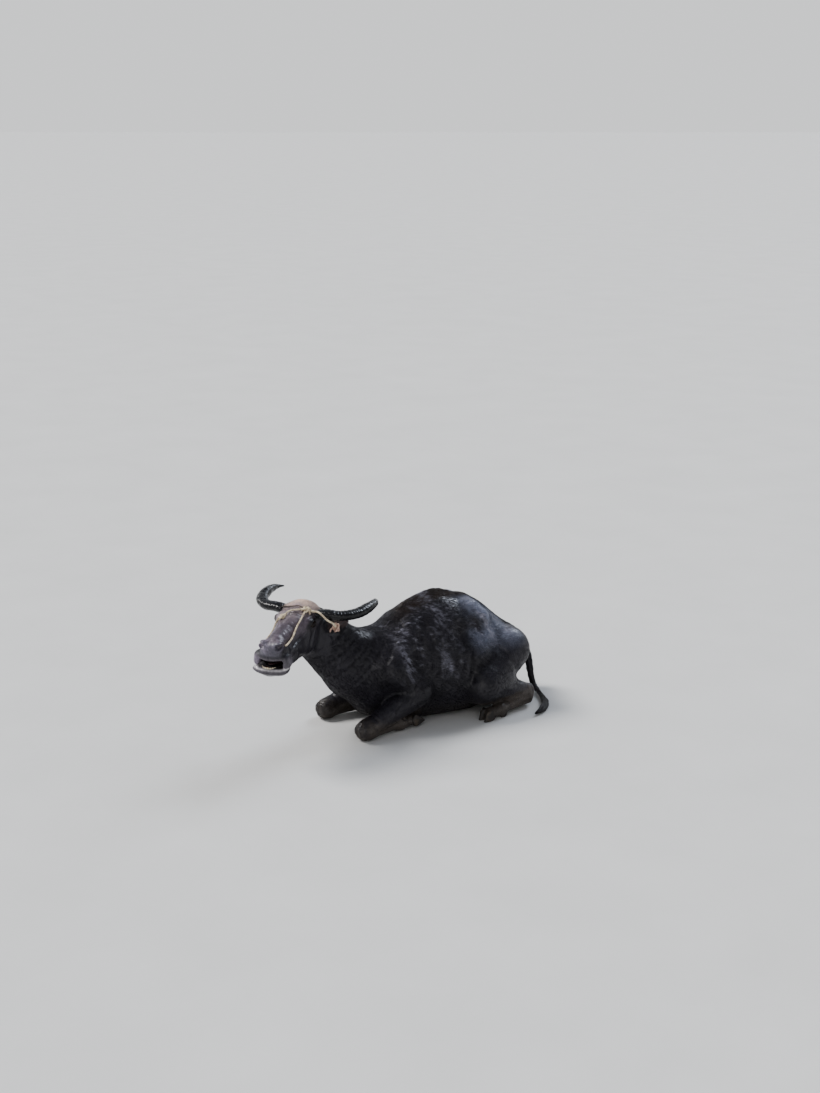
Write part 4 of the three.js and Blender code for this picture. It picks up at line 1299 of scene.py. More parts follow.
class HornFinish(Finish):
    """Black horn, worn lighter on its ridges, with fine lines along it."""

    name = "black_horn"
    map_name = "horn_map"

    def mix(self) -> None:
        """Mix lines along the horn, scuffs and fine rings."""
        along = self.noise(1.0, 5.0, self.stretched((60.0, 3.0, 1.0), self.map_place(self.map_name)))
        scuff = self.noise(60.0, 5.0)
        tone = self.times(self.times(self.tone(), self.fit(along, 0.6, 1.5)), self.fit(scuff, 0.75, 1.3))
        rings = self.noise(1.0, 5.0, self.stretched((4.0, 150.0, 1.0), self.map_place(self.map_name)))
        rough = self.sums(self.fit(scuff, 0.15, 0.34), self.fit(along, -0.04, 0.06))
        normal = self.bump(scuff, 0.0012, 0.5, self.bump(along, 0.0008, 0.5))
        self.main(Base_Color=tone, Roughness=rough, Normal=self.bump(rings, 0.001, 0.6, normal),
                  Coat_Weight=0.1, Coat_Roughness=0.12, Specular_IOR_Level=0.4)


class ClawFinish(Finish):
    """Dull dark claw with growth lines and dried mud."""

    name = "dark_claw"

    def mix(self) -> None:
        """Mix mud in patches over the grain."""
        grain = self.noise(160.0, 5.0, self.stretched((1.0, 1.0, 3.0)))
        mud = self.fit(self.noise(40.0, 5.0), 0.0, 0.75, 0.48, 0.68)
        tone = self.times(self.tone(), self.fit(grain, 0.6, 1.5))
        self.main(Base_Color=self.mixed(mud, tone, (0.085, 0.066, 0.048, 1.0)), Specular_IOR_Level=0.45,
                  Roughness=self.fit(grain, 0.45, 0.75), Normal=self.bump(grain, 0.001, 0.7))


class EyeFinish(Finish):
    """Wet eye: dark brown iris round a level pupil."""

    name = "wet_eye"

    def mix(self) -> None:
        """Mix fine rays under a wet film."""
        rays = self.noise(500.0)
        self.main(Base_Color=self.times(self.tone(), self.fit(rays, 0.6, 1.5)), Specular_IOR_Level=0.2,
                  Roughness=self.fit(rays, 0.06, 0.14), Coat_Weight=0.15, Coat_Roughness=0.03)


class MouthFinish(Finish):
    """Wet flesh or stained tooth, from the piece's own tones."""

    coarse = 700.0
    roughness = 0.32
    softness = 0.2

    def mix(self) -> None:
        """Mix a fine grain under a wet film."""
        grain = self.noise(self.coarse)
        self.main(Base_Color=self.times(self.tone(), self.fit(grain, 0.65, 1.35)),
                  Roughness=self.fit(grain, self.roughness * 0.8, self.roughness * 1.3),
                  Normal=self.bump(grain, 0.0008, 0.7), Subsurface_Weight=self.softness,
                  Subsurface_Scale=0.004, Coat_Weight=0.4, Coat_Roughness=0.12)


class RopeFinish(Finish):
    """Twisted plant-fibre rope, weathered and soiled in places."""

    name = "straw_rope"
    map_name = "rope_map"
    clean = (0.8, 0.7, 0.52, 1.0)
    soiled = (0.4, 0.31, 0.22, 1.0)

    def mix(self) -> None:
        """Mix fibres along the strands with dirt in patches."""
        fibre = self.noise(1.0, 4.0, self.stretched((14.0, 260.0, 1.0), self.map_place(self.map_name)))
        dirt = self.fit(self.noise(45.0, 5.0), 0.0, 0.85, 0.42, 0.66)
        tone = self.times(self.mixed(dirt, self.clean, self.soiled), self.fit(fibre, 0.55, 1.35))
        self.main(Base_Color=tone, Roughness=self.fit(fibre, 0.75, 0.95), Specular_IOR_Level=0.3,
                  Normal=self.bump(fibre, 0.001, 0.9), Sheen_Weight=0.3, Sheen_Roughness=0.6)


class FloorFinish(Finish):
    """Pale, matt studio floor."""

    name = "pale_floor"

    def mix(self) -> None:
        """Mix two pale greys."""
        tone = self.mixed(self.noise(1.5, 3.0), (0.58, 0.58, 0.57, 1.0), (0.66, 0.66, 0.65, 1.0))
        self.main(Base_Color=tone, Roughness=self.fit(self.noise(20.0), 0.75, 0.9))


# Markings, painted sheen and painted shade shared by the skin and the coat

@dataclass(frozen=True)
class MarkingsAndPaintedLight:
    """Colours at places on the skin: the animal's own, and painted sheen, highlights and shade."""

    hide: Triple = (0.018, 0.0165, 0.0215)
    face: Triple = (0.122, 0.099, 0.12)
    poll: Triple = (0.55, 0.435, 0.37)
    brow: Triple = (0.33, 0.275, 0.285)
    # painted sheen and highlights, lilac white, on the far side of the face, the nose and the lips
    painted_lilac_sheen: Triple = (0.3, 0.26, 0.33)
    back: Triple = (0.03, 0.02, 0.015)
    # painted bluish sheen of the sky over the hips and rump
    painted_rump_sheen: Triple = (0.135, 0.148, 0.196)
    # painted glints of wet hair in streaks over the shoulder and the rump
    painted_streak_glint: Triple = (0.21, 0.208, 0.25)
    lip: Triple = (0.13, 0.118, 0.138)
    # pale edge of the lower lip, brightened by a painted highlight
    pale_rim_and_glint: Triple = (0.56, 0.54, 0.56)
    pad: Triple = (0.098, 0.092, 0.116)
    chin: Triple = (0.072, 0.066, 0.078)
    # painted shade inside the open mouth
    mouth: Triple = (0.014, 0.008, 0.009)
    ear: Triple = (0.085, 0.058, 0.054)
    sock: Triple = (0.064, 0.054, 0.046)
    belly: Triple = (0.026, 0.022, 0.022)
    # painted shade on the lids and in the socket round each eye
    lid: Triple = (0.005, 0.0045, 0.0055)

    def tones(self, p: Grid) -> Grid:
        """Work out the colour of each place.

        Args:
            p: Rows of places before the shift to the frame.
        Returns:
            Red, green and blue for each.
        """
        tone = np.tile(np.array(self.hide), (len(p), 1))
        ragged = ripple(p, 0.03, 11) * 0.5 + ripple(p, 0.012, 12) * 0.5
        forward, left, up = HEAD.inward(p).T
        in_head = (np.abs(left) < 0.3) & (forward > -0.2) & (p[:, 1] < -0.4)
        wide = np.abs(left)

        def lay(colour: Triple, share: Grid) -> None:
            """Cover the tone with a colour by a share."""
            nonlocal tone
            share = np.clip(share, 0, 1)[:, None]
            tone = tone * (1 - share) + np.array(colour) * share

        lay(self.belly, ramp(p[:, 2], 0.16, 0.03) * 0.8)
        spine = ramp(np.abs(p[:, 0]), 0.1, 0.03) * ramp(p[:, 2], 0.53, 0.6) * ramp(p[:, 1], -0.05, 0.05)
        lay(self.back, spine * (0.8 + 0.3 * ragged))
        for leg in BODY.legs:
            low = leg.axis[-3:]
            away = np.min([np.linalg.norm(p - at, axis=1) for at in smooth_line(low, 9)], axis=0)
            lay(self.sock, ramp(away + 0.012 * ragged, 0.085, 0.055) * ramp(p[:, 2], 0.17, 0.1) * 0.8)
        # Painted bluish sheen of the sky over the hips and rump, in ragged patches
        painted_rump_sheen = ramp(p[:, 1], 0.34, 0.46) * ramp(p[:, 1], 0.86, 0.7) * ramp(p[:, 2], 0.34, 0.5)
        patchy = ramp(ripple(p, 0.16, 13) + 0.5 * ragged, -1.2, 0.3)
        lay(self.painted_rump_sheen, painted_rump_sheen * patchy * ramp(np.abs(p[:, 0]), 0.02, 0.06))
        # Painted glints of wet hair: streaks over the shoulder and flank, and over the rump
        glint_lines = ripple(p * (1.0, 1.0, 0.22), 0.022, 14) + 0.5 * ripple(p * (1.0, 1.0, 0.3), 0.009, 15)
        shoulder_glint = (ramp(p[:, 1], -0.16, 0.0) * ramp(p[:, 1], 0.42, 0.24) * ramp(p[:, 2], 0.24, 0.36)
                * ramp(ripple(p, 0.2, 16), -1.2, 0.3))
        lay(self.painted_streak_glint, shoulder_glint * ramp(glint_lines, 0.25, 1.15) * 0.75)
        lay(self.painted_streak_glint, painted_rump_sheen * ramp(glint_lines, 0.15, 1.1) * ramp(p[:, 0], 0.02, 0.08) * 0.85)
        face = ramp(forward, -0.1, -0.02) * ramp(up - 0.35 * wide, -0.055, 0.02) * in_head
        lay(self.face, face * (0.75 + 0.25 * ragged))
        streaks = ripple(HEAD.inward(p) * (0.35, 1.0, 0.6), 0.0085, 17)
        # Painted lilac sheen along the far side of the face
        shine = (ramp(left, 0.004, -0.03) * ramp(left, -0.088, -0.06) * ramp(forward, 0.0, 0.04)
                 * ramp(forward, 0.2, 0.16) * ramp(up, -0.01, 0.03) * in_head)
        lay(self.painted_lilac_sheen, shine * ramp(streaks + 0.4 * ragged, -0.2, 1.2) * 0.6)
        near = ramp(forward + 0.02 * ragged + 0.008 * streaks, 0.0, -0.05) * ramp(up, 0.044, 0.07) * in_head
        lay(self.brow, near * ramp(wide, 0.085, 0.055) * 0.9)
        front = ramp(forward + 0.015 * ragged, 0.11, 0.01) * ramp(forward, -0.06, -0.03) * in_head
        front = front * ramp(up, 0.03, 0.06) * ramp(left, 0.06, 0.02)
        lay(self.brow, front * (0.42 + 0.12 * streaks.clip(-1, 1)))
        top = (ramp(up + 0.01 * ragged, 0.05, 0.076) * in_head
               * ramp(forward + 0.018 * ragged + 0.012 * streaks, -0.046, -0.086))
        fade = ramp(left - 0.02 * ragged, -0.085, -0.035) * ramp(left + 0.016 * ragged, 0.085, 0.01)
        lay(self.poll, top * ramp(p[:, 1], -0.36, -0.48) * (0.45 + 0.55 * fade) * ramp(streaks, -3.4, 0.0))
        lay(self.pad, ramp(forward, 0.245, 0.268) * ramp(up, -0.05, -0.03) * in_head)
        lip = ramp(forward, 0.15, 0.2) * ramp(up, -0.04, -0.066) * in_head
        lay(self.lip, lip * (0.75 + 0.25 * ragged))
        # Painted highlight at the far end of the lower lip
        lay(self.painted_lilac_sheen, lip * ramp(left, -0.045, -0.075) * ramp(up, -0.112, -0.1) * 0.6)
        lay(self.chin, ramp(forward, 0.12, 0.18) * ramp(up, -0.12, -0.136) * in_head * 0.8)
        # Pale edge of the lower lip, partly its own colour and partly a painted highlight
        pale_rim_and_glint = ramp(forward, 0.17, 0.205) * ramp(np.abs(up + 0.114), 0.013, 0.005) * in_head
        lay(self.pale_rim_and_glint, pale_rim_and_glint * (0.85 + 0.3 * ragged))
        # Painted highlights round the nostrils
        nose = (ramp(forward, 0.215, 0.24) * ramp(np.abs(wide - 0.02 - 0.004 * ragged), 0.011, 0.004)
                * ramp(np.abs(up + 0.004), 0.03, 0.012) * in_head)
        lay(self.painted_lilac_sheen, nose * ramp(ragged, -1.0, 1.0) * 0.5)
        # Painted highlight on the far side of the nose tip
        tip = ramp(forward, 0.2, 0.235) * ramp(np.abs(up - 0.004), 0.04, 0.02) * in_head
        lay(self.painted_lilac_sheen, tip * ramp(left, 0.01, -0.03) * ramp(streaks + ragged, -0.8, 0.8) * 0.55)
        # Painted shade deep inside the open mouth
        inside = np.minimum(BODY.head.mouth.value(HEAD.inward(p)) * 1.0, 1.0)
        painted_mouth_shade = (ramp(inside, 0.007, 0.002) * ramp(forward, 0.276, 0.262) * in_head
                * ramp(np.abs(left + 0.018), 0.08, 0.064) * ramp(np.abs(up + 0.098), 0.034, 0.026))
        lay(self.mouth, painted_mouth_shade)
        # Painted shade, near black, on the lids and round each eye
        for socket in SOCKETS.values():
            along, above, out = socket.local(HEAD.inward(p)).T
            ring = np.hypot(along / 1.35, above)
            lay(self.lid, ramp(ring, 0.044, 0.024) * (out > 0) * in_head * 0.95)
        for _, side in SIDES:
            path = smooth_line([mirror(at, side, 1) for at in BODY.head.ear.path], 12)
            head_at = HEAD.inward(p)
            away = np.min([np.linalg.norm(head_at - at, axis=1) for at in path], axis=0)
            face_out = (head_at - path[5]) @ unit(np.array(mirror(BODY.head.ear.facing, side, 1)))
            lay(self.ear, ramp(away, 0.03, 0.018) * ramp(face_out, -0.004, 0.006) * (forward < -0.14) * 0.8)
        return np.maximum(tone, 0.004)


MARKINGS_AND_LIGHT = MarkingsAndPaintedLight()


# Unwrap shared by all coat pieces

@dataclass(frozen=True)
class Chart:
    """One length of the body unrolled: its middle line and its place on the map."""

    line: Grid
    low: tuple[float, float]
    size: tuple[float, float]
    upright: Triple = (0.0, 0.0, 1.0)

    def read(self, p: Grid) -> tuple[Grid, Grid, Grid]:
        """Find places on the chart.

        Args:
            p: Rows of places on the skin.
        Returns:
            How far each is from the line, its map place, and the line's direction there.
        """
        ahead, first, second = line_frames(self.line, self.upright)
        best = np.full(len(p), 9.0)
        where = np.zeros((len(p), 2))
        course = np.zeros((len(p), 3))
        last = len(self.line) - 1
        for k in range(last):
            span = self.line[k + 1] - self.line[k]
            offset = p - self.line[k]
            t = np.clip(offset @ span / (span @ span), 0, 1)
            rest = offset - t[:, None] * span
            away = np.linalg.norm(rest, axis=1)
            closer = away < best
            turn = np.arctan2(rest @ second[k], rest @ first[k]) / (2 * math.pi) + 0.5
            best[closer] = away[closer]
            where[closer] = np.stack([turn, (k + t) / last], axis=1)[closer]
            course[closer] = ahead[k]
        return best, np.array(self.low) + where * np.array(self.size), course


@dataclass
class Unwrap:
    """The skin unrolled length by length: trunk to muzzle, the legs, the tail and the ears."""

    body: BodyShape

    def __post_init__(self) -> None:
        """Lay out the charts with a margin between them."""
        head_line = HEAD.outward(np.array([(-0.15, -0.008, -0.03), (0.06, 0, -0.016), (0.226, 0, -0.04)]))
        spine = np.vstack([[(0, 0.86, 0.255), (0, 0.43, 0.32), (0, 0.18, 0.328), (0, -0.04, 0.345),
                            (-0.012, -0.2, 0.405), (-0.038, -0.37, 0.535)], head_line])
        self.charts = [Chart(smooth_line(spine, 40), (0.01, 0.01), (0.54, 0.98))]
        for k, leg in enumerate(self.body.legs):
            self.charts.append(Chart(smooth_line(leg.axis, 16), (0.57 + 0.105 * k, 0.01), (0.095, 0.6)))
        self.charts.append(Chart(self.body.tail.line[::3], (0.57, 0.63), (0.08, 0.36)))
        for k, (_, side) in enumerate(SIDES):
            path = HEAD.outward(smooth_line([mirror(at, side, 1) for at in self.body.head.ear.path], 9))
            facing = HEAD.rows.T @ unit(np.array(mirror(self.body.head.ear.facing, side, 1)))
            self.charts.append(Chart(path, (0.67 + 0.12 * k, 0.63), (0.1, 0.3), tuple(facing)))
        self.margins = [0.0, *[0.09] * len(self.body.legs), 0.1, 0.1, 0.1]

    def read(self, p: Grid) -> tuple[Grid, Grid, Grid]:
        """Find map places, and the way that the coat lies.

        Args:
            p: Rows of places on the skin.
        Returns:
            Map places, directions of the lie before they are laid on the skin, and the chart numbers.
        """
        parts = [chart.read(p) for chart in self.charts]
        masses = [Blend(0.02, (self.body.trunk, self.body.neck, InHead(self.body.head.clay))).value(p)]
        masses += [leg.clay.value(p) for leg in self.body.legs]
        masses.append(self.body.tail.clay.value(p))
        masses += [InHead(self.body.head.ear.clay(side)).value(p) - 0.004 for _, side in SIDES]
        pick = np.argmin(masses, axis=0)
        places = np.zeros((len(p), 2))
        course = np.zeros((len(p), 3))
        for k, (_, where, ahead) in enumerate(parts):
            held = pick == k
            places[held] = where[held]
            course[held] = -ahead[held] + (0, 0, -0.55) if k == 0 else ahead[held]
        return places, course, pick


# Coat

@dataclass(frozen=True)
class Lie:
    """How the tufts of one part of the coat are cut: how many, how long, wide, raised and strayed."""

    name: str
    count: int
    length: tuple[float, float]
    width: tuple[float, float]
    lift: float
    stray: float
    seed: int


@dataclass
class Coat:
    """Tufts of short hair laid over the skin."""

    at: Grid
    out: Grid
    quads: Grid
    unwrap: Unwrap
    tree: BVHTree
    dress: Dress
    root_depth: float = 0.0008

    def __post_init__(self) -> None:
        """Work out the size and middle of every quad."""
        a, b, c, d = (self.at[self.quads[:, k]] for k in range(4))
        self.sizes = (np.linalg.norm(np.cross(b - a, c - a), axis=1)
                      + np.linalg.norm(np.cross(c - a, d - a), axis=1)) / 2
        self.middles = (a + b + c + d) / 4

    def roots(self, share: Grid, count: int, draw: np.random.Generator) -> tuple[Grid, Grid]:
        """Scatter roots over the skin.

        Args:
            share: How thickly each quad is grown.
            count: How many roots.
            draw: Source of chance.
        Returns:
            Root places and outward directions.
        """
        weight = np.cumsum(self.sizes * share)
        pick = np.searchsorted(weight, draw.uniform(0, weight[-1], count))
        u, v = draw.uniform(size=(2, count, 1))
        a, b, c, d = (self.quads[pick, k] for k in range(4))
        shares = ((1 - u) * (1 - v), u * (1 - v), u * v, (1 - u) * v)
        at = sum(self.at[corner] * part for corner, part in zip((a, b, c, d), shares))
        out = unit(sum(self.out[corner] * part for corner, part in zip((a, b, c, d), shares)))
        return at, out

    def grow(self, lie: Lie, share: Grid) -> None:
        """Grow one part of the coat.

        Args:
            lie: How its tufts are cut.
            share: How thickly each quad of the skin is grown.
        """
        draw = np.random.default_rng(lie.seed)
        at, out = self.roots(share, lie.count, draw)
        places, course, _ = self.unwrap.read(at)
        wave = ripple(at, 0.06, lie.seed + 40)[:, None] * np.cross(out, unit(course))
        way = unit(course) + wave * 0.3 + draw.normal(size=at.shape) * lie.stray
        way = unit(way - (way * out).sum(axis=1, keepdims=True) * out)
        length = draw.uniform(*lie.length, size=(len(at), 1))
        width = draw.uniform(*lie.width, size=(len(at), 1))
        line = [at - out * self.root_depth]
        for step, lift in ((0.5, 0.45 * lie.lift), (1.0, lie.lift)):
            line.append(self.lay_down(at + way * length * step, out, length * lift + 0.0006))
        tufts(lie.name, np.stack(line, axis=1), width * np.array([0.9, 0.8]), out, places, self.dress)

    def lay_down(self, p: Grid, out: Grid, height: Grid) -> Grid:
        """Bring places to a height over the skin.

        Args:
            p: Rows of places near the skin.
            out: Outward direction to use where the skin is far.
            height: Height over the skin of each.
        Returns:
            The places at that height.
        """
        result = np.empty_like(p)
        for k, (place, way, rise) in enumerate(zip(p, out, height[:, 0])):
            found, normal, _, _ = self.tree.find_nearest(place, 0.03)
            if found is None:
                result[k] = place + way * rise
            else:
                result[k] = np.array(found) + np.array(normal) * rise
        return result


def tufts(name: str, lines: Grid, widths: Grid, out: Grid, places: Grid, dress: Dress,
          nodes: Sequence[str] = ()) -> None:
    """Make thin closed locks, three-sided and pointed, in one mesh.

    Args:
        name: The piece's name.
        lines: For each lock its middle places from root to tip.
        widths: For each lock its width at every place but the tip.
        out: Outward direction at each root.
        places: Map place of each root.
        dress: Its finish.
        nodes: The frame's nodes that it stands for.
    """
    count, steps = lines.shape[:2]
    rings = steps - 1
    ahead = unit(np.diff(lines, axis=1))
    side = unit(np.cross(ahead, out[:, None]))
    above = np.cross(side, ahead)
    half = widths[:, :, None] / 2
    corners = np.stack([lines[:, :-1] - side * half, lines[:, :-1] + side * half,
                        lines[:, :-1] + above * half * 0.7], axis=2)
    at = np.concatenate([corners.reshape(count, -1, 3), lines[:, -1:]], axis=1)
    size = rings * 3 + 1
    faces3 = [(0, 1, 2)]
    faces4 = []
    for ring in range(rings - 1):
        low, high = ring * 3, ring * 3 + 3
        faces4 += [(low + a, high + a, high + b, low + b) for a, b in ((0, 1), (1, 2), (2, 0))]
    last = (rings - 1) * 3
    faces3 += [(last + a, size - 1, last + b) for a, b in ((0, 1), (1, 2), (2, 0))]
    base = (np.arange(count) * size)[:, None, None]
    groups = [(np.array(faces3)[None] + base).reshape(-1, 3)]
    if faces4:
        groups.append((np.array(faces4)[None] + base).reshape(-1, 4))
    patch = 0.0015
    across = np.array([-1.0, 1.0, 0.0])
    local = [(patch * across[k % 3], patch * (2 * (k // 3) / rings - 1)) for k in range(size - 1)]
    local.append((0.0, patch))
    spots = places[:, None] + np.array(local)[None]
    tones = np.repeat(MARKINGS_AND_LIGHT.tones(lines[:, 0]), size, axis=0)
    dress.make(name, (at.reshape(-1, 3), groups), tones, {BAKE_MAP: spots.reshape(-1, 2)}, nodes)


@dataclass
class Skin:
    """The one skin and the coat on it."""

    body: BodyShape = BODY
    quick_share: float = 0.15

    def build(self) -> None:
        """Cast the skin, then grow the coat part by part."""
        at, out, quads = SkinCast(self.body).cast(Folds(self.body))
        nodes = ["trunk", "neck", "head", "lower_jaw", "tail_upper", "tail_lower"]
        for side, _ in SIDES:
            nodes.append(f"ear_{side}")
            nodes += [f"{limb.value}_{part}_{side}" for limb in Limb for part in ("upper", "lower")]
        Dress(HideFinish().material, "hide").make("skin", (at, [quads]), MARKINGS_AND_LIGHT.tones(at), nodes=nodes)
        tree = BVHTree.FromPolygons(at.tolist(), quads.tolist())
        self.grow(Coat(at, out, quads, Unwrap(self.body), tree, Dress(CoatFinish().material, "hide")))

    def grow(self, coat: Coat) -> None:
        """Grow every part of the coat.

        Args:
            coat: The coat to grow.
        """
        p = coat.middles
        forward, left, up = HEAD.inward(p).T
        _, _, pick = coat.unwrap.read(p)
        low = ramp(p[:, 2], 0.01, 0.03)
        in_head = (pick == 0) & (forward > -0.16) & (up > -0.17) & (p[:, 1] < -0.46)
        lips = ramp(forward, 0.19, 0.15)
        eyes = np.min([np.linalg.norm(socket.local(HEAD.inward(p)) / (1.3, 1, 1), axis=1)
                       for socket in SOCKETS.values()], axis=0)
        poll = in_head * ramp(up, 0.05, 0.075) * ramp(forward, -0.03, -0.065)
        face = in_head * lips * ramp(eyes, 0.026, 0.034) * (1 - poll)
        trunk = (pick == 0) & ~in_head
        neck = trunk * ramp(p[:, 1], -0.1, -0.16)
        spine = (trunk * ramp(np.abs(p[:, 0]), 0.075, 0.03) * ramp(p[:, 2], 0.5, 0.57)
                 * ramp(p[:, 1], -0.08, 0.0))
        side = trunk * (1 - 0.7 * spine) * low * (1 - neck)
        legs = np.isin(pick, range(1, 1 + len(self.body.legs))) * low
        tail = (pick == len(self.body.legs) + 1) * low
        ears = pick > len(self.body.legs) + 1
        count = 1.0
        for name, share, roots, *cut in (
                ("left", side * (p[:, 0] > 0), 19500, (0.018, 0.034), (0.0011, 0.002), 0.04, 0.12, 21),
                ("right", side * (p[:, 0] <= 0), 19500, (0.018, 0.034), (0.0011, 0.002), 0.04, 0.12, 22),
                ("neck", neck * low, 17000, (0.017, 0.032), (0.001, 0.0019), 0.04, 0.12, 29),
                ("spine", spine, 7000, (0.022, 0.042), (0.0012, 0.0022), 0.15, 0.2, 23),
                ("legs", legs, 19000, (0.01, 0.02), (0.0011, 0.002), 0.04, 0.14, 24),
                ("face", face, 19500, (0.004, 0.009), (0.0004, 0.0007), 0.03, 0.16, 25),
                ("poll", poll, 12000, (0.014, 0.034), (0.0006, 0.0012), 0.12, 0.26, 26),
                ("ears", ears, 6000, (0.01, 0.024), (0.0008, 0.0014), 0.14, 0.3, 27),
                ("tail", tail, 3500, (0.014, 0.028), (0.001, 0.0018), 0.08, 0.18, 28)):
            coat.grow(Lie(f"coat_{name}", int(roots * count), *cut), share)


# Horns

@dataclass
class Horn:
    """One crescent horn, ringed on its upper and front sides."""

    side_name: str
    side: float
    dress: Dress
    path: tuple[Triple, ...] = (
        (-0.092, 0.066, 0.042), (-0.1, 0.128, 0.056), (-0.114, 0.205, 0.053), (-0.19, 0.266, 0.046),
        (-0.298, 0.29, 0.045), (-0.38, 0.285, 0.04), (-0.434, 0.258, 0.03))
    depth: tuple[float, ...] = (0.038, 0.034, 0.031, 0.031, 0.029, 0.022, 0.003)
    height: tuple[float, ...] = (0.025, 0.024, 0.024, 0.026, 0.026, 0.019, 0.003)
    rings: int = 27
    ring_depth: float = 0.0028
    steps: int = 420
    around: int = 72

    def build(self) -> None:
        """Make the horn and let it stand for the frame's one."""
        line = HEAD.outward(smooth_line([mirror(at, self.side, 1) for at in self.path], self.steps))
        t = np.linspace(0, 1, self.steps)
        _, first, second = line_frames(line, HEAD.rows[2])
        turn = np.linspace(0, 2 * math.pi, self.around, endpoint=False)
        wide = spread(self.depth, t) * HEAD.scale
        high = spread(self.height, t) * HEAD.scale
        blunt = np.sqrt(np.clip(1 - ((t - 0.985) / 0.015).clip(0, 1)**2, 0.02, 1))
        phase = self.rings * (t**0.86) + 0.35 * np.sin(17 * t) + 0.2 * np.sin(41 * t + self.side)
        saw = phase % 1.0
        groove = np.exp(-((saw - 0.5) / 0.16)**2)
        uneven = 0.62 + 0.38 * np.sin(19 * t + 1.3 * self.side) * np.sin(47 * t + 0.6)
        strength = self.ring_depth * uneven * ramp(t, 0.86, 0.45) * ramp(t, 0.1, 0.22)
        upper = 0.45 + 0.55 * np.cos(turn - 0.5 * self.side)
        sink = strength[:, None] * groove[:, None] * upper.clip(0.12, 1)[None]
        flat = 1 - 0.06 * np.cos(3 * turn)[None] * ramp(t, 0.9, 0.3)[:, None]
        ring = (first[:, None] * (np.cos(turn) * (high * blunt)[:, None] * flat)[:, :, None]
                + second[:, None] * (np.sin(turn) * (wide * blunt)[:, None] * flat)[:, :, None])
        ring = ring * (1 - sink / np.maximum(np.linalg.norm(ring, axis=2), 1e-6))[:, :, None]
        at, faces = close_rings((line[:, None] + ring).reshape(-1, 3), self.steps, self.around)
        away = unit(at - np.vstack([np.repeat(line, self.around, axis=0), line[:1], line[-1:]]) + 1e-9)
        at = at + away * (ripple(at, 0.016, 61) * 0.0007 + ripple(at, 0.005, 62) * 0.0002)[:, None]
        worn = (1 - groove)[:, None] * upper.clip(0, 1)[None] * ramp(t, 0.95, 0.4)[:, None]
        tip = ramp(t, 0.965, 1.0)[:, None] * np.ones((1, self.around))
        tone = (np.array((0.0045, 0.0045, 0.0055)) + worn[:, :, None] * np.array((0.005, 0.005, 0.006))
                + tip[:, :, None] * np.array((0.06, 0.055, 0.05)))
        tone = np.vstack([tone.reshape(-1, 3), tone[0, :1], tone[-1, :1]])
        along, round_it = np.meshgrid(t, turn / (2 * math.pi), indexing="ij")
        places = np.stack([round_it, along], axis=-1).reshape(-1, 2)
        maps = {HornFinish.map_name: np.vstack([places, [(0.5, 0.0), (0.5, 1.0)]])}
        self.dress.make(f"horn_ringed_{self.side_name}", (at, faces), tone, maps, [f"horn_{self.side_name}"])


# Eyes

@dataclass
class Eye:
    """One eyeball with a clear bulge over its iris."""

    side_name: str
    socket: EyeSocket
    dress: Dress
    steps: int = 64
    bulge: float = 0.0013
    iris: float = 0.72
    pupil: tuple[float, float] = (0.44, 0.22)

    def build(self) -> None:
        """Make the eyeball and let it stand for the frame's one."""
        lean = np.linspace(0.01, math.pi - 0.01, self.steps)
        turn = np.linspace(0, 2 * math.pi, self.steps, endpoint=False)
        radius = self.socket.radius + self.bulge * np.exp(-(lean / 0.5)**4)
        across = np.sin(lean)[:, None]
        rows = self.socket.rows
        local = np.stack([across * np.cos(turn), across * np.sin(turn),
                          np.repeat(np.cos(lean)[:, None], self.steps, axis=1)], axis=-1)
        ball = self.socket.centre + (local * radius[:, None, None]).reshape(-1, 3) @ rows
        at, faces = close_rings(HEAD.outward(ball), self.steps, self.steps)
        if self.socket.side > 0:
            faces = [group[:, ::-1] for group in faces]
        slit = np.hypot(local[:, :, 0] / self.pupil[0], local[:, :, 1] / self.pupil[1]).reshape(-1)
        away = np.repeat(lean, self.steps)
        tone = np.tile(np.array((0.012, 0.006, 0.004)), (len(slit), 1))
        for colour, share in (((0.03, 0.022, 0.018), ramp(away, self.iris + 0.06, self.iris + 0.2)),
                              ((0.006, 0.004, 0.003), ramp(np.abs(away - self.iris), 0.1, 0.03)),
                              ((0.002, 0.002, 0.003), ramp(slit, 1.1, 0.95) * (away < 1.0))):
            tone = tone * (1 - share[:, None]) + np.array(colour) * share[:, None]
        tone = np.vstack([tone, tone[:1], tone[-1:]])
        self.dress.make(f"eyeball_{self.side_name}", (at, faces), tone, nodes=[f"eye_{self.side_name}"])


# Mouth

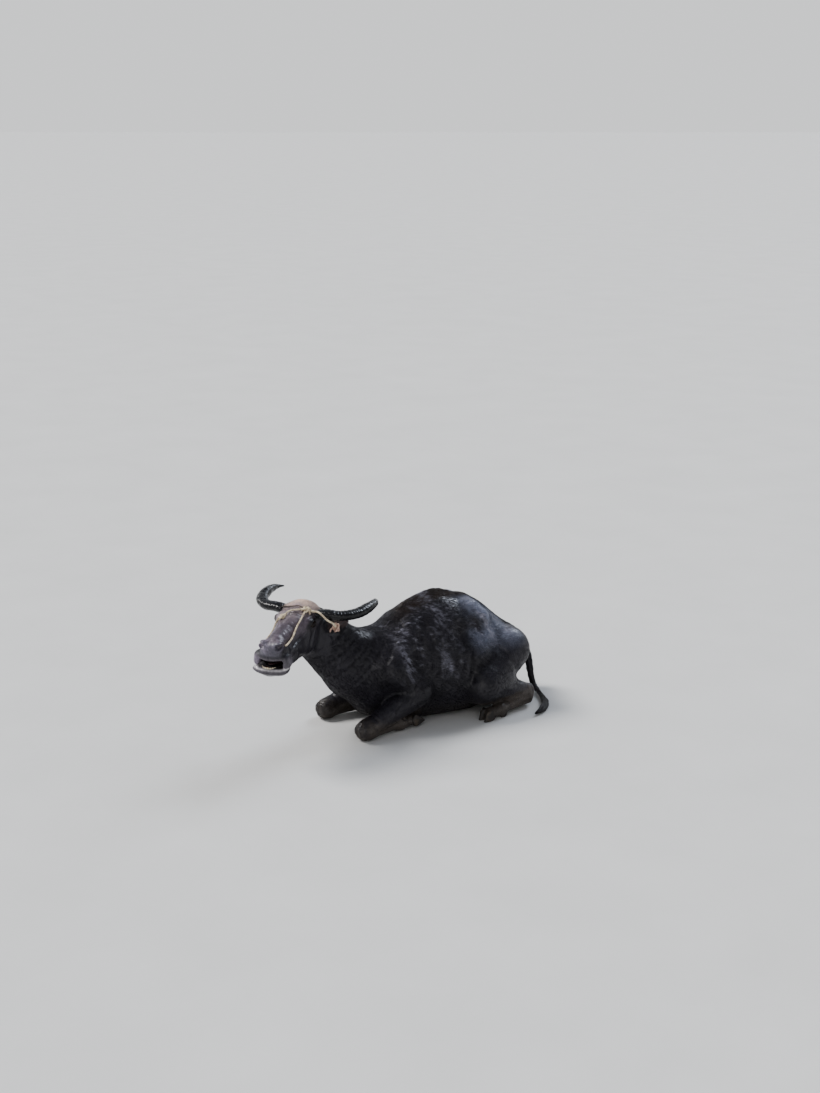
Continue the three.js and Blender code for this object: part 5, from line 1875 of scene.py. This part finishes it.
@dataclass
class MouthParts:
    """Tongue and lower front teeth."""

    tongue_path: tuple[Triple, ...] = (
        (0.07, -0.002, -0.112), (0.13, -0.008, -0.111), (0.19, -0.016, -0.108), (0.236, -0.021, -0.101))
    tongue_widths: tuple[float, ...] = (0.03, 0.034, 0.03, 0.012)
    tongue_heights: tuple[float, ...] = (0.01, 0.012, 0.01, 0.005)
    teeth: int = 8
    arc: float = 0.038
    sweep: float = 1.1
    centre: Triple = (0.223, -0.022, -0.119)
    crown: Triple = (0.0058, 0.0034, 0.011)

    def build(self) -> None:
        """Make both pieces."""
        self.build_tongue()
        self.build_teeth()

    def build_tongue(self) -> None:
        """Make the tongue with its middle furrow and rough upper side."""
        steps, around = 80, 48
        line = smooth_line(self.tongue_path, steps)
        t = np.linspace(0, 1, steps)
        cap = np.sqrt(np.clip(1 - ((t - 0.88) / 0.12).clip(0, 1)**2, 0.01, 1))
        at, faces = tube(line, spread(self.tongue_widths, t) * cap, spread(self.tongue_heights, t) * cap,
                         (0, 0, 1), around)
        middle = np.exp(-((at[:, 1] + 0.016) / 0.004)**2)
        above = at[:, 2] > -0.108
        at[:, 2] -= 0.0025 * middle * above
        at[:, 2] += 0.0005 * ripple(at, 0.004, 31) * above
        tone = np.tile(np.array((0.1, 0.052, 0.058)), (len(at), 1)) * (0.8 + 0.25 * middle)[:, None]
        dress = Dress(MouthFinish(name="wet_tongue").material, "tongue")
        dress.make("tongue_flesh", (HEAD.outward(at), faces), tone, nodes=["tongue"])

    def build_teeth(self) -> None:
        """Make the row of spade-shaped crowns."""
        steps, around = 22, 24
        lean = np.linspace(0.02, math.pi - 0.02, steps)
        turn = np.linspace(0, 2 * math.pi, around, endpoint=False)

        def square(value: Grid) -> Grid:
            """Pull a round wave towards a square one."""
            return np.sign(value) * np.abs(value)**0.55
        parts, tones = [], []
        for k, angle in enumerate(np.linspace(-self.sweep, self.sweep, self.teeth)):
            size = 1.0 - 0.1 * abs(angle)
            across = square(np.sin(lean))
            local = [np.outer(across, square(np.cos(turn))) * self.crown[1] * size,
                     np.outer(across, square(np.sin(turn))) * self.crown[0] * size,
                     np.outer(square(np.cos(lean)), np.ones(around)) * self.crown[2] * size]
            local = np.stack(local, axis=-1).reshape(-1, 3)
            local[:, 1] *= 1.0 + 0.16 * local[:, 2] / self.crown[2]
            spin = np.array([[math.cos(angle), math.sin(angle), 0], [-math.sin(angle), math.cos(angle), 0],
                             [0, 0, 1]])
            root = np.array(self.centre) + self.arc * np.array((math.cos(angle), math.sin(angle), 0))
            root[2] -= 0.002 * abs(angle)
            at, faces = close_rings(HEAD.outward(local @ spin + root), steps, around)
            parts.append((at, faces))
            stain = ramp(np.append(local[:, 2], [self.crown[2], -self.crown[2]]), 0.002, -0.009)[:, None]
            tones.append(np.array((0.62, 0.55, 0.42)) * (1 - stain) + np.array((0.3, 0.2, 0.11)) * stain)
        worn = MouthFinish(name="worn_tooth", coarse=300.0, roughness=0.28, softness=0.08)
        dress = Dress(worn.material, "tooth")
        dress.make("front_teeth", joined(parts), np.vstack(tones), nodes=["lower_teeth"])


# Claws

@dataclass
class Foot:
    """Two claws and two dewclaws of one foot."""

    leg: Leg
    dress: Dress
    length: float = 0.088
    height: float = 0.06
    slope: float = 0.034
    width: float = 0.04
    apart: float = 0.048
    ahead: float = -0.022
    rings: int = 26
    around: int = 44

    def __post_init__(self) -> None:
        """Work out how the foot stands."""
        self.toe = unit(np.array(self.leg.toe))
        self.sole = unit(np.array(self.leg.sole))
        self.across = unit(np.cross(self.toe, self.sole))
        self.name = f"{self.leg.limb.value}_{'left' if self.leg.side > 0 else 'right'}"

    def claw(self, side: float) -> tuple[Grid, list[Grid], Grid]:
        """Shape one claw.

        Args:
            side: -1 for the inner claw and 1 for the outer one.
        Returns:
            Corner places, faces and tones.
        """
        rise = np.linspace(0, 1, self.rings)
        turn = np.linspace(0, 2 * math.pi, self.around, endpoint=False)
        parts, tones = [], []
        for k, h in enumerate(rise):
            front = self.length / 2 - self.slope * h**1.05
            back = -self.length / 2 + 0.004 * h
            middle, reach = (front + back) / 2, (front - back) / 2
            edge = 1 - 0.14 * (1 - ramp(h, 0.0, 0.12)) - 0.22 * ramp(h, 0.84, 1.0)
            bulge = 1 + 0.018 * math.sin(k * 2.1) * ramp(h, 0.08, 0.2)
            cosine, sine = np.cos(turn), np.sin(turn)
            x = middle + reach * edge * np.sign(cosine) * np.abs(cosine)**0.92
            taper = 1 - 0.26 * ramp(cosine, 0.15, 1.0)
            outer = np.where(sine * side > 0, 1.04, 0.8)
            z = self.width / 2 * edge * bulge * taper * outer * np.sign(sine) * np.abs(sine)**0.72
            y = self.height * h * (1 - 0.2 * ramp(-cosine, 0.0, 1.0) * h)
            parts.append(np.stack([x, y, z], axis=1))
            dark = 0.75 + 0.35 * (0.5 + 0.5 * math.sin(k * 2.1))
            tones.append(np.tile(np.array((0.03, 0.026, 0.024)) * dark, (self.around, 1)))
        local = np.vstack(parts)
        place = (np.array(self.leg.joints["pastern"]) + self.across * side * self.apart / 2
                 + self.toe * (self.length / 2 + self.ahead) + self.sole * self.height * 0.55)
        basis = np.array([self.toe, -self.sole, np.cross(self.toe, -self.sole)])
        at, faces = close_rings(place + local @ basis, self.rings, self.around)
        at[:, 2] = np.maximum(at[:, 2], 0.0004)
        if np.linalg.det(basis) > 0:
            faces = [group[:, ::-1] for group in faces]
        return at, faces, np.vstack([*tones, tones[0][:1], tones[-1][:1]])

    def dewclaw(self, side: float) -> tuple[Grid, list[Grid], Grid]:
        """Shape one dewclaw.

        Args:
            side: -1 for the inner one and 1 for the outer one.
        Returns:
            Corner places, faces and tones.
        """
        spur = (np.array(self.leg.joints["fetlock"]) + self.across * side * 0.023 + self.sole * 0.034)
        line = spur + np.outer(np.linspace(-0.022, 0.023, 16), self.toe)
        sag = np.linspace(0, 1, 16)
        radii = 0.0135 * np.sqrt(np.clip(1 - (2 * sag - 1)**2, 0.03, 1)) * (1.06 - 0.25 * sag)
        at, faces = tube(line, radii, radii * (1 + 0.03 * np.sin(sag * 40)), -self.sole, 20)
        at[:, 2] = np.maximum(at[:, 2], 0.0004)
        return at, faces, np.tile(np.array((0.03, 0.026, 0.024)), (len(at), 1))

    def build(self) -> None:
        """Make the foot's four pieces."""
        for where, side in (("inner", -1.0), ("outer", 1.0)):
            for kind, maker in (("claw", self.claw), ("dewclaw", self.dewclaw)):
                at, faces, tones = maker(side)
                name = f"{self.name}_{kind}_{where}"
                self.dress.make(name + "_shell", (at, faces), tones, nodes=[name])


# Tail switch

@dataclass
class Switch:
    """Locks of coarse hair at the tail's end."""

    tail: TailShape
    dress: Dress
    locks: int = 620
    steps: int = 9
    seed: int = 51

    def build(self, unwrap: Unwrap) -> None:
        """Make the locks and let them stand for the frame's switch.

        Args:
            unwrap: The shared unwrap.
        """
        draw = np.random.default_rng(self.seed)
        count = self.locks
        start = draw.uniform(0.66, 0.86, count)
        end = np.minimum(start + draw.uniform(0.16, 0.3, count), 1.0 - draw.uniform(0.0, 0.05, count))
        t = start[:, None] + (end - start)[:, None] * np.linspace(0, 1, self.steps)
        even = np.linspace(0, 1, len(self.tail.line))
        middle = np.stack([np.interp(t, even, self.tail.line[:, k]) for k in range(3)], axis=-1)
        _, first, second = line_frames(self.tail.line, (0, 0, 1))
        up = np.stack([np.interp(t, even, first[:, k]) for k in range(3)], axis=-1)
        across = np.stack([np.interp(t, even, second[:, k]) for k in range(3)], axis=-1)
        turn = draw.uniform(0, 2 * math.pi, count)[:, None]
        turn = turn + draw.normal(size=(count, 1)) * np.linspace(0, 0.9, self.steps)
        root = np.interp(start, (0.66, 0.86), (0.012, 0.006))[:, None]
        fat = spread(self.tail.radii, t) * draw.uniform(0.35, 1.0, (count, 1))
        blend = ramp(np.linspace(0, 1, self.steps), 0.0, 0.5)[None]
        reach = root * (1 - blend) + fat * blend
        lines = middle + up * (np.cos(turn) * reach)[..., None] + across * (np.sin(turn) * reach)[..., None]
        lines[:, :, 2] = np.maximum(lines[:, :, 2], 0.003)
        widths = draw.uniform(0.003, 0.0055, (count, 1)) * np.linspace(1, 0.45, self.steps - 1)
        places, _, _ = unwrap.read(lines[:, 0])
        out = unit(lines[:, 1] - middle[:, 1]) + (0, 0, 0.01)
        tufts("switch_locks", lines, widths, unit(out), places, self.dress, ["tail_switch"])


# Halter: its places are distances forward and degrees round from the top, or free places in head axes

RUNS = {
    "face_strand_left": (
        (-0.05, 26), (-0.01, 29), (0.04, 35), (0.08, 42), (0.14, 62), (0.196, 70), (0.23, 67)),
    "face_strand_right": ((0.046, -20), (0.06, -40), (0.09, -66), (0.13, -84), (0.18, -86), (0.224, -72)),
    "brow_band": ((-0.05, 18), (-0.026, 10), (-0.008, 0), (0.008, -9), (0.028, -14), (0.046, -20)),
    "poll_band": ((-0.05, 24), (-0.06, 6), (-0.054, -12), (-0.062, -28), (-0.076, -46)),
    "cheek_strand": ((-0.05, 24), (-0.066, 38), (-0.071, 0.106, 0.074), (-0.062, 0.136, 0.062),
                     (-0.06, 0.162, 0.042), (-0.098, 0.172, 0.014), (-0.132, 0.176, -0.022))}
# Each knot's place and half sizes
KNOTS = {
    "forehead": ((-0.05, 24), (0.026, 0.024, 0.017)),
    "brow": ((0.046, -20), (0.02, 0.015, 0.013)),
    "cheek": ((-0.132, 0.176, -0.022), (0.02, 0.022, 0.026))}
# Runs that are thinner than the rest, as a share of the radius
THINNER = {"brow_band": 0.78, "poll_band": 0.55, "face_strand_left": 0.84, "face_strand_right": 0.84}


@dataclass(frozen=True)
class Halter:
    """Rope halter: twisted runs over the face, and its three knots."""

    radius: float = 0.006
    lift: float = 0.0095
    pitch: float = 0.034
    strands: int = 3
    strand_share: float = 0.54
    around: int = 10
    step: float = 0.0026
    run_fibres: tuple[int, float] = (260, 0.009)
    knot_fibres: tuple[int, float] = (420, 0.016)

    def place(self, spot: Sequence[float], lift: float) -> Grid:
        """Find a place of the halter.

        Args:
            spot: Distance forward and degrees round from the top, or a free place in head axes.
            lift: Height over the skin.
        Returns:
            The place in the world.
        """
        if len(spot) == 3:
            return HEAD.outward(np.array(spot))
        turn = math.radians(spot[1])
        start = HEAD.outward(np.array((spot[0], 0.0, -0.02)))
        way = HEAD.rows[2] * math.cos(turn) + HEAD.rows[1] * math.sin(turn)
        return BODY.ray_out(start, way) + way * lift

    def rope(self, line: Grid, radius: float, turns: float = 0.0) -> tuple[Grid, list[Grid], Grid]:
        """Twist strands round a line.

        Args:
            line: Rows of even places along it.
            radius: Radius of the whole rope.
            turns: Where the twist starts.
        Returns:
            Corner places, faces and map places.
        """
        run = np.concatenate([[0], np.cumsum(np.linalg.norm(np.diff(line, axis=0), axis=1))])
        ahead = unit(np.gradient(line, axis=0))
        first = np.empty_like(ahead)
        first[0] = unit(np.cross(ahead[0], (0.31, 0.53, 0.79)))
        for k in range(1, len(line)):
            first[k] = unit(first[k - 1] - (first[k - 1] @ ahead[k]) * ahead[k])
        second = np.cross(ahead, first)
        parts, places = [], []
        strand_radius = radius * self.strand_share
        offset = radius - strand_radius
        for strand in range(self.strands):
            spin = 2 * math.pi * (run / self.pitch + strand / self.strands) + turns
            middle = line + (first * np.cos(spin)[:, None] + second * np.sin(spin)[:, None]) * offset
            course = unit(np.gradient(middle, axis=0))
            out = unit(first * np.cos(spin)[:, None] + second * np.sin(spin)[:, None])
            beside = np.cross(course, out)
            turn = np.linspace(0, 2 * math.pi, self.around, endpoint=False)
            ring = out[:, None] * np.cos(turn)[:, None] + beside[:, None] * np.sin(turn)[:, None]
            ring = middle[:, None] + ring * strand_radius
            parts.append(close_rings(ring.reshape(-1, 3), len(line), self.around))
            spot = np.meshgrid(run, turn / (2 * math.pi) + strand, indexing="ij")
            spot = np.stack(spot, axis=-1).reshape(-1, 2)
            places.append(np.vstack([spot, spot[:1], spot[-1:]]))
        at, faces = joined(parts)
        return at, faces, np.vstack(places)

    def fibres(self, at: Grid, count: int, length: float, seed: int) -> tuple[Grid, list[Grid], Grid]:
        """Let loose fibres stand off a rope.

        Args:
            at: Corner places of the rope.
            count: How many fibres.
            length: Their greatest length.
            seed: Source of chance.
        Returns:
            Corner places, faces and map places.
        """
        draw = np.random.default_rng(seed)
        root = at[draw.integers(0, len(at), count)]
        way = unit(draw.normal(size=(count, 3)))
        side = unit(np.cross(way, (0.2, 0.5, 0.8))) * 0.00045
        other = np.cross(way, side)
        tip = root + way * draw.uniform(0.3, 1.0, (count, 1)) * length
        corners = np.stack([root + side, root - side, root + other, tip], axis=1).reshape(-1, 3)
        base = (np.arange(count) * 4)[:, None, None]
        faces = (np.array([(0, 2, 1), (0, 1, 3), (1, 2, 3), (2, 0, 3)])[None] + base).reshape(-1, 3)
        return corners, [faces], np.zeros((len(corners), 2))

    def knot(self, centre: Grid, radii: Grid, seed: int) -> tuple[Grid, list[Grid], Grid]:
        """Wind a knot.

        Args:
            centre: Its middle.
            radii: Its half sizes along the head's axes.
            seed: Turns it and picks the loose ends.
        Returns:
            Corner places, faces and map places.
        """
        t = np.linspace(0, 2 * math.pi, 220)
        inner = self.radius * 0.95
        size = np.maximum(np.asarray(radii) - inner, 0.006)
        wide = (2 + np.cos(3 * t)) / 3
        wind = np.stack([wide * np.cos(2 * t + seed), wide * np.sin(2 * t + seed), np.sin(3 * t) * 0.85], 1)
        parts = [self.rope(centre + (wind * size) @ HEAD.rows, inner)]
        draw = np.random.default_rng(seed)
        for _ in range(2):
            way = unit(draw.normal(size=3) * (1.0, 1.0, 0.5)) @ HEAD.rows
            sag = np.array((0, 0, -1.0))
            end = [centre, centre + way * 0.018, centre + way * 0.03 + sag * 0.01,
                   centre + way * 0.034 + sag * 0.024]
            parts.append(self.rope(smooth_line(end, 26), self.radius * 0.8))
        at, faces = joined([part[:2] for part in parts])
        return at, faces, np.vstack([part[2] for part in parts])

    def build(self) -> None:
        """Make all runs and knots."""
        straw = RopeFinish()
        cord = RopeFinish(name="dark_cord", clean=(0.11, 0.085, 0.065, 1.0), soiled=(0.04, 0.032, 0.026, 1.0))
        ruddy = RopeFinish(name="ruddy_rope", clean=(0.66, 0.46, 0.37, 1.0), soiled=(0.26, 0.16, 0.125, 1.0))
        finishes = {"poll_band": cord, "cheek_knot": ruddy}
        made = []
        for name, places in RUNS.items():
            route = smooth_line([self.place(spot, self.lift) for spot in places], 12)
            length = np.linalg.norm(np.diff(route, axis=0), axis=1).sum()
            line = smooth_line(route, int(length / self.step))
            made.append((name, self.rope(line, self.radius * THINNER.get(name, 1.0)), self.run_fibres))
        for number, (name, (spot, radii)) in enumerate(KNOTS.items()):
            centre = self.place(spot, radii[2] * 0.7)
            shape = self.knot(centre, np.array(radii) * HEAD.scale, number + 1)
            made.append((f"{name}_knot", shape, self.knot_fibres))
        for number, (name, (at, faces, places), fibres) in enumerate(made):
            fuzz = self.fibres(at, *fibres, 70 + number)
            maps = {RopeFinish.map_name: np.vstack([places, fuzz[2]])}
            Dress(finishes.get(name, straw).material, "rope").make(
                f"rope_{name}", joined([(at, faces), fuzz[:2]]), maps=maps, nodes=[f"halter_{name}"])


# Studio

@dataclass
class Studio:
    """Pale floor, soft lights and the camera."""

    camera_at: Triple = (7.287, -4.965, 3.392)
    camera_azimuth: float = 55.0
    camera_elevation: float = 15.1
    lens: float = 54.08
    floor_size: float = 900.0
    horizon: tuple[float, float, float, float] = (0.765, 0.775, 0.785, 1.0)
    zenith: tuple[float, float, float, float] = (0.22, 0.235, 0.265, 1.0)

    def build(self) -> None:
        """Set everything up."""
        self.lay_floor()
        self.light_air()
        self.hang_lights()
        self.aim_camera()

    def lay_floor(self) -> None:
        """Lay the floor."""
        half = self.floor_size / 2
        corners = np.array([(-half, -half, 0), (half, -half, 0), (half, half, 0), (-half, half, 0)], float)
        floor = mesh_piece("floor", (corners - SHIFT, [np.array([[0, 1, 2, 3]])]), False)
        floor.data.materials.append(FloorFinish().material)

    def light_air(self) -> None:
        """Fill the air with light: as bright as the floor at the horizon, weaker and cooler above."""
        world = bpy.data.worlds.new("studio_air")
        bpy.context.scene.world = world
        world.use_nodes = True
        air = Nodes(world.node_tree)
        up = air.put("SeparateXYZ", "Z", {"Vector": air.put("TexCoord", "Generated")})
        rise = air.put("MapRange", "Result", {"From Min": 0.12, "From Max": 0.5, "Value": up},
                       interpolation_type="SMOOTHSTEP")
        air.feed(air.tree.nodes["Background"], {"Color": air.mixed(rise, self.horizon, self.zenith)})

    def hang_lights(self) -> None:
        """Set broad soft lights above and behind, and a weak one beside the camera."""
        for name, towards, softness, power, colour in (
                ("sky_light", (-0.62, -0.42, 0.92), 26.0, 2.7, (1.0, 0.98, 0.96)),
                ("back_light", (-0.3, 0.9, 0.8), 24.0, 1.3, (0.84, 0.9, 1.0)),
                ("front_light", (0.85, -0.75, 0.62), 50.0, 0.62, (1.0, 0.97, 0.94))):
            data = bpy.data.lights.new(name, "SUN")
            data.angle = math.radians(softness)
            data.energy = power
            data.color = colour
            lamp = bpy.data.objects.new(name, data)
            lamp.rotation_mode = "QUATERNION"
            lamp.rotation_quaternion = Vector(towards).to_track_quat("Z", "Y")
            bpy.context.scene.collection.objects.link(lamp)
        bpy.context.scene.view_settings.look = "AgX - Medium High Contrast"

    def aim_camera(self) -> None:
        """Place the camera at the viewing angle and framing wanted."""
        turn, rise = math.radians(self.camera_azimuth), math.radians(self.camera_elevation)
        right = Vector((math.cos(turn), math.sin(turn), 0.0))
        back = Vector((math.sin(turn) * math.cos(rise), -math.cos(turn) * math.cos(rise), math.sin(rise)))
        data = bpy.data.cameras.new("camera")
        data.lens = self.lens
        data.sensor_width = 36.0
        data.clip_end = 200.0
        camera = bpy.data.objects.new("camera", data)
        turned = Matrix((right, back.cross(right), back)).transposed().to_4x4()
        camera.matrix_world = Matrix.Translation(Vector(self.camera_at) + Vector(SHIFT)) @ turned
        bpy.context.scene.collection.objects.link(camera)
        bpy.context.scene.camera = camera


def main() -> None:
    """Build the studio, then every piece of the animal and its halter."""
    logging.basicConfig(level=logging.INFO, format="%(relativeCreated)6d ms %(message)s", force=True)
    Studio().build()
    LOG.info("studio ready")
    Skin().build()
    horn = Dress(HornFinish().material, "horn")
    for name, side in SIDES:
        Horn(name, side, horn).build()
    eye = Dress(EyeFinish().material, "eye")
    for name, socket in SOCKETS.items():
        Eye(name, socket, eye).build()
    MouthParts().build()
    claw = Dress(ClawFinish().material, "hoof")
    for leg in BODY.legs:
        Foot(leg, claw).build()
    switch = Dress(CoatFinish(name="switch_hair", lift=0.9).material, "tail_hair")
    Switch(BODY.tail, switch).build(Unwrap(BODY))
    Halter().build()


if __name__ == "__main__":
    main()
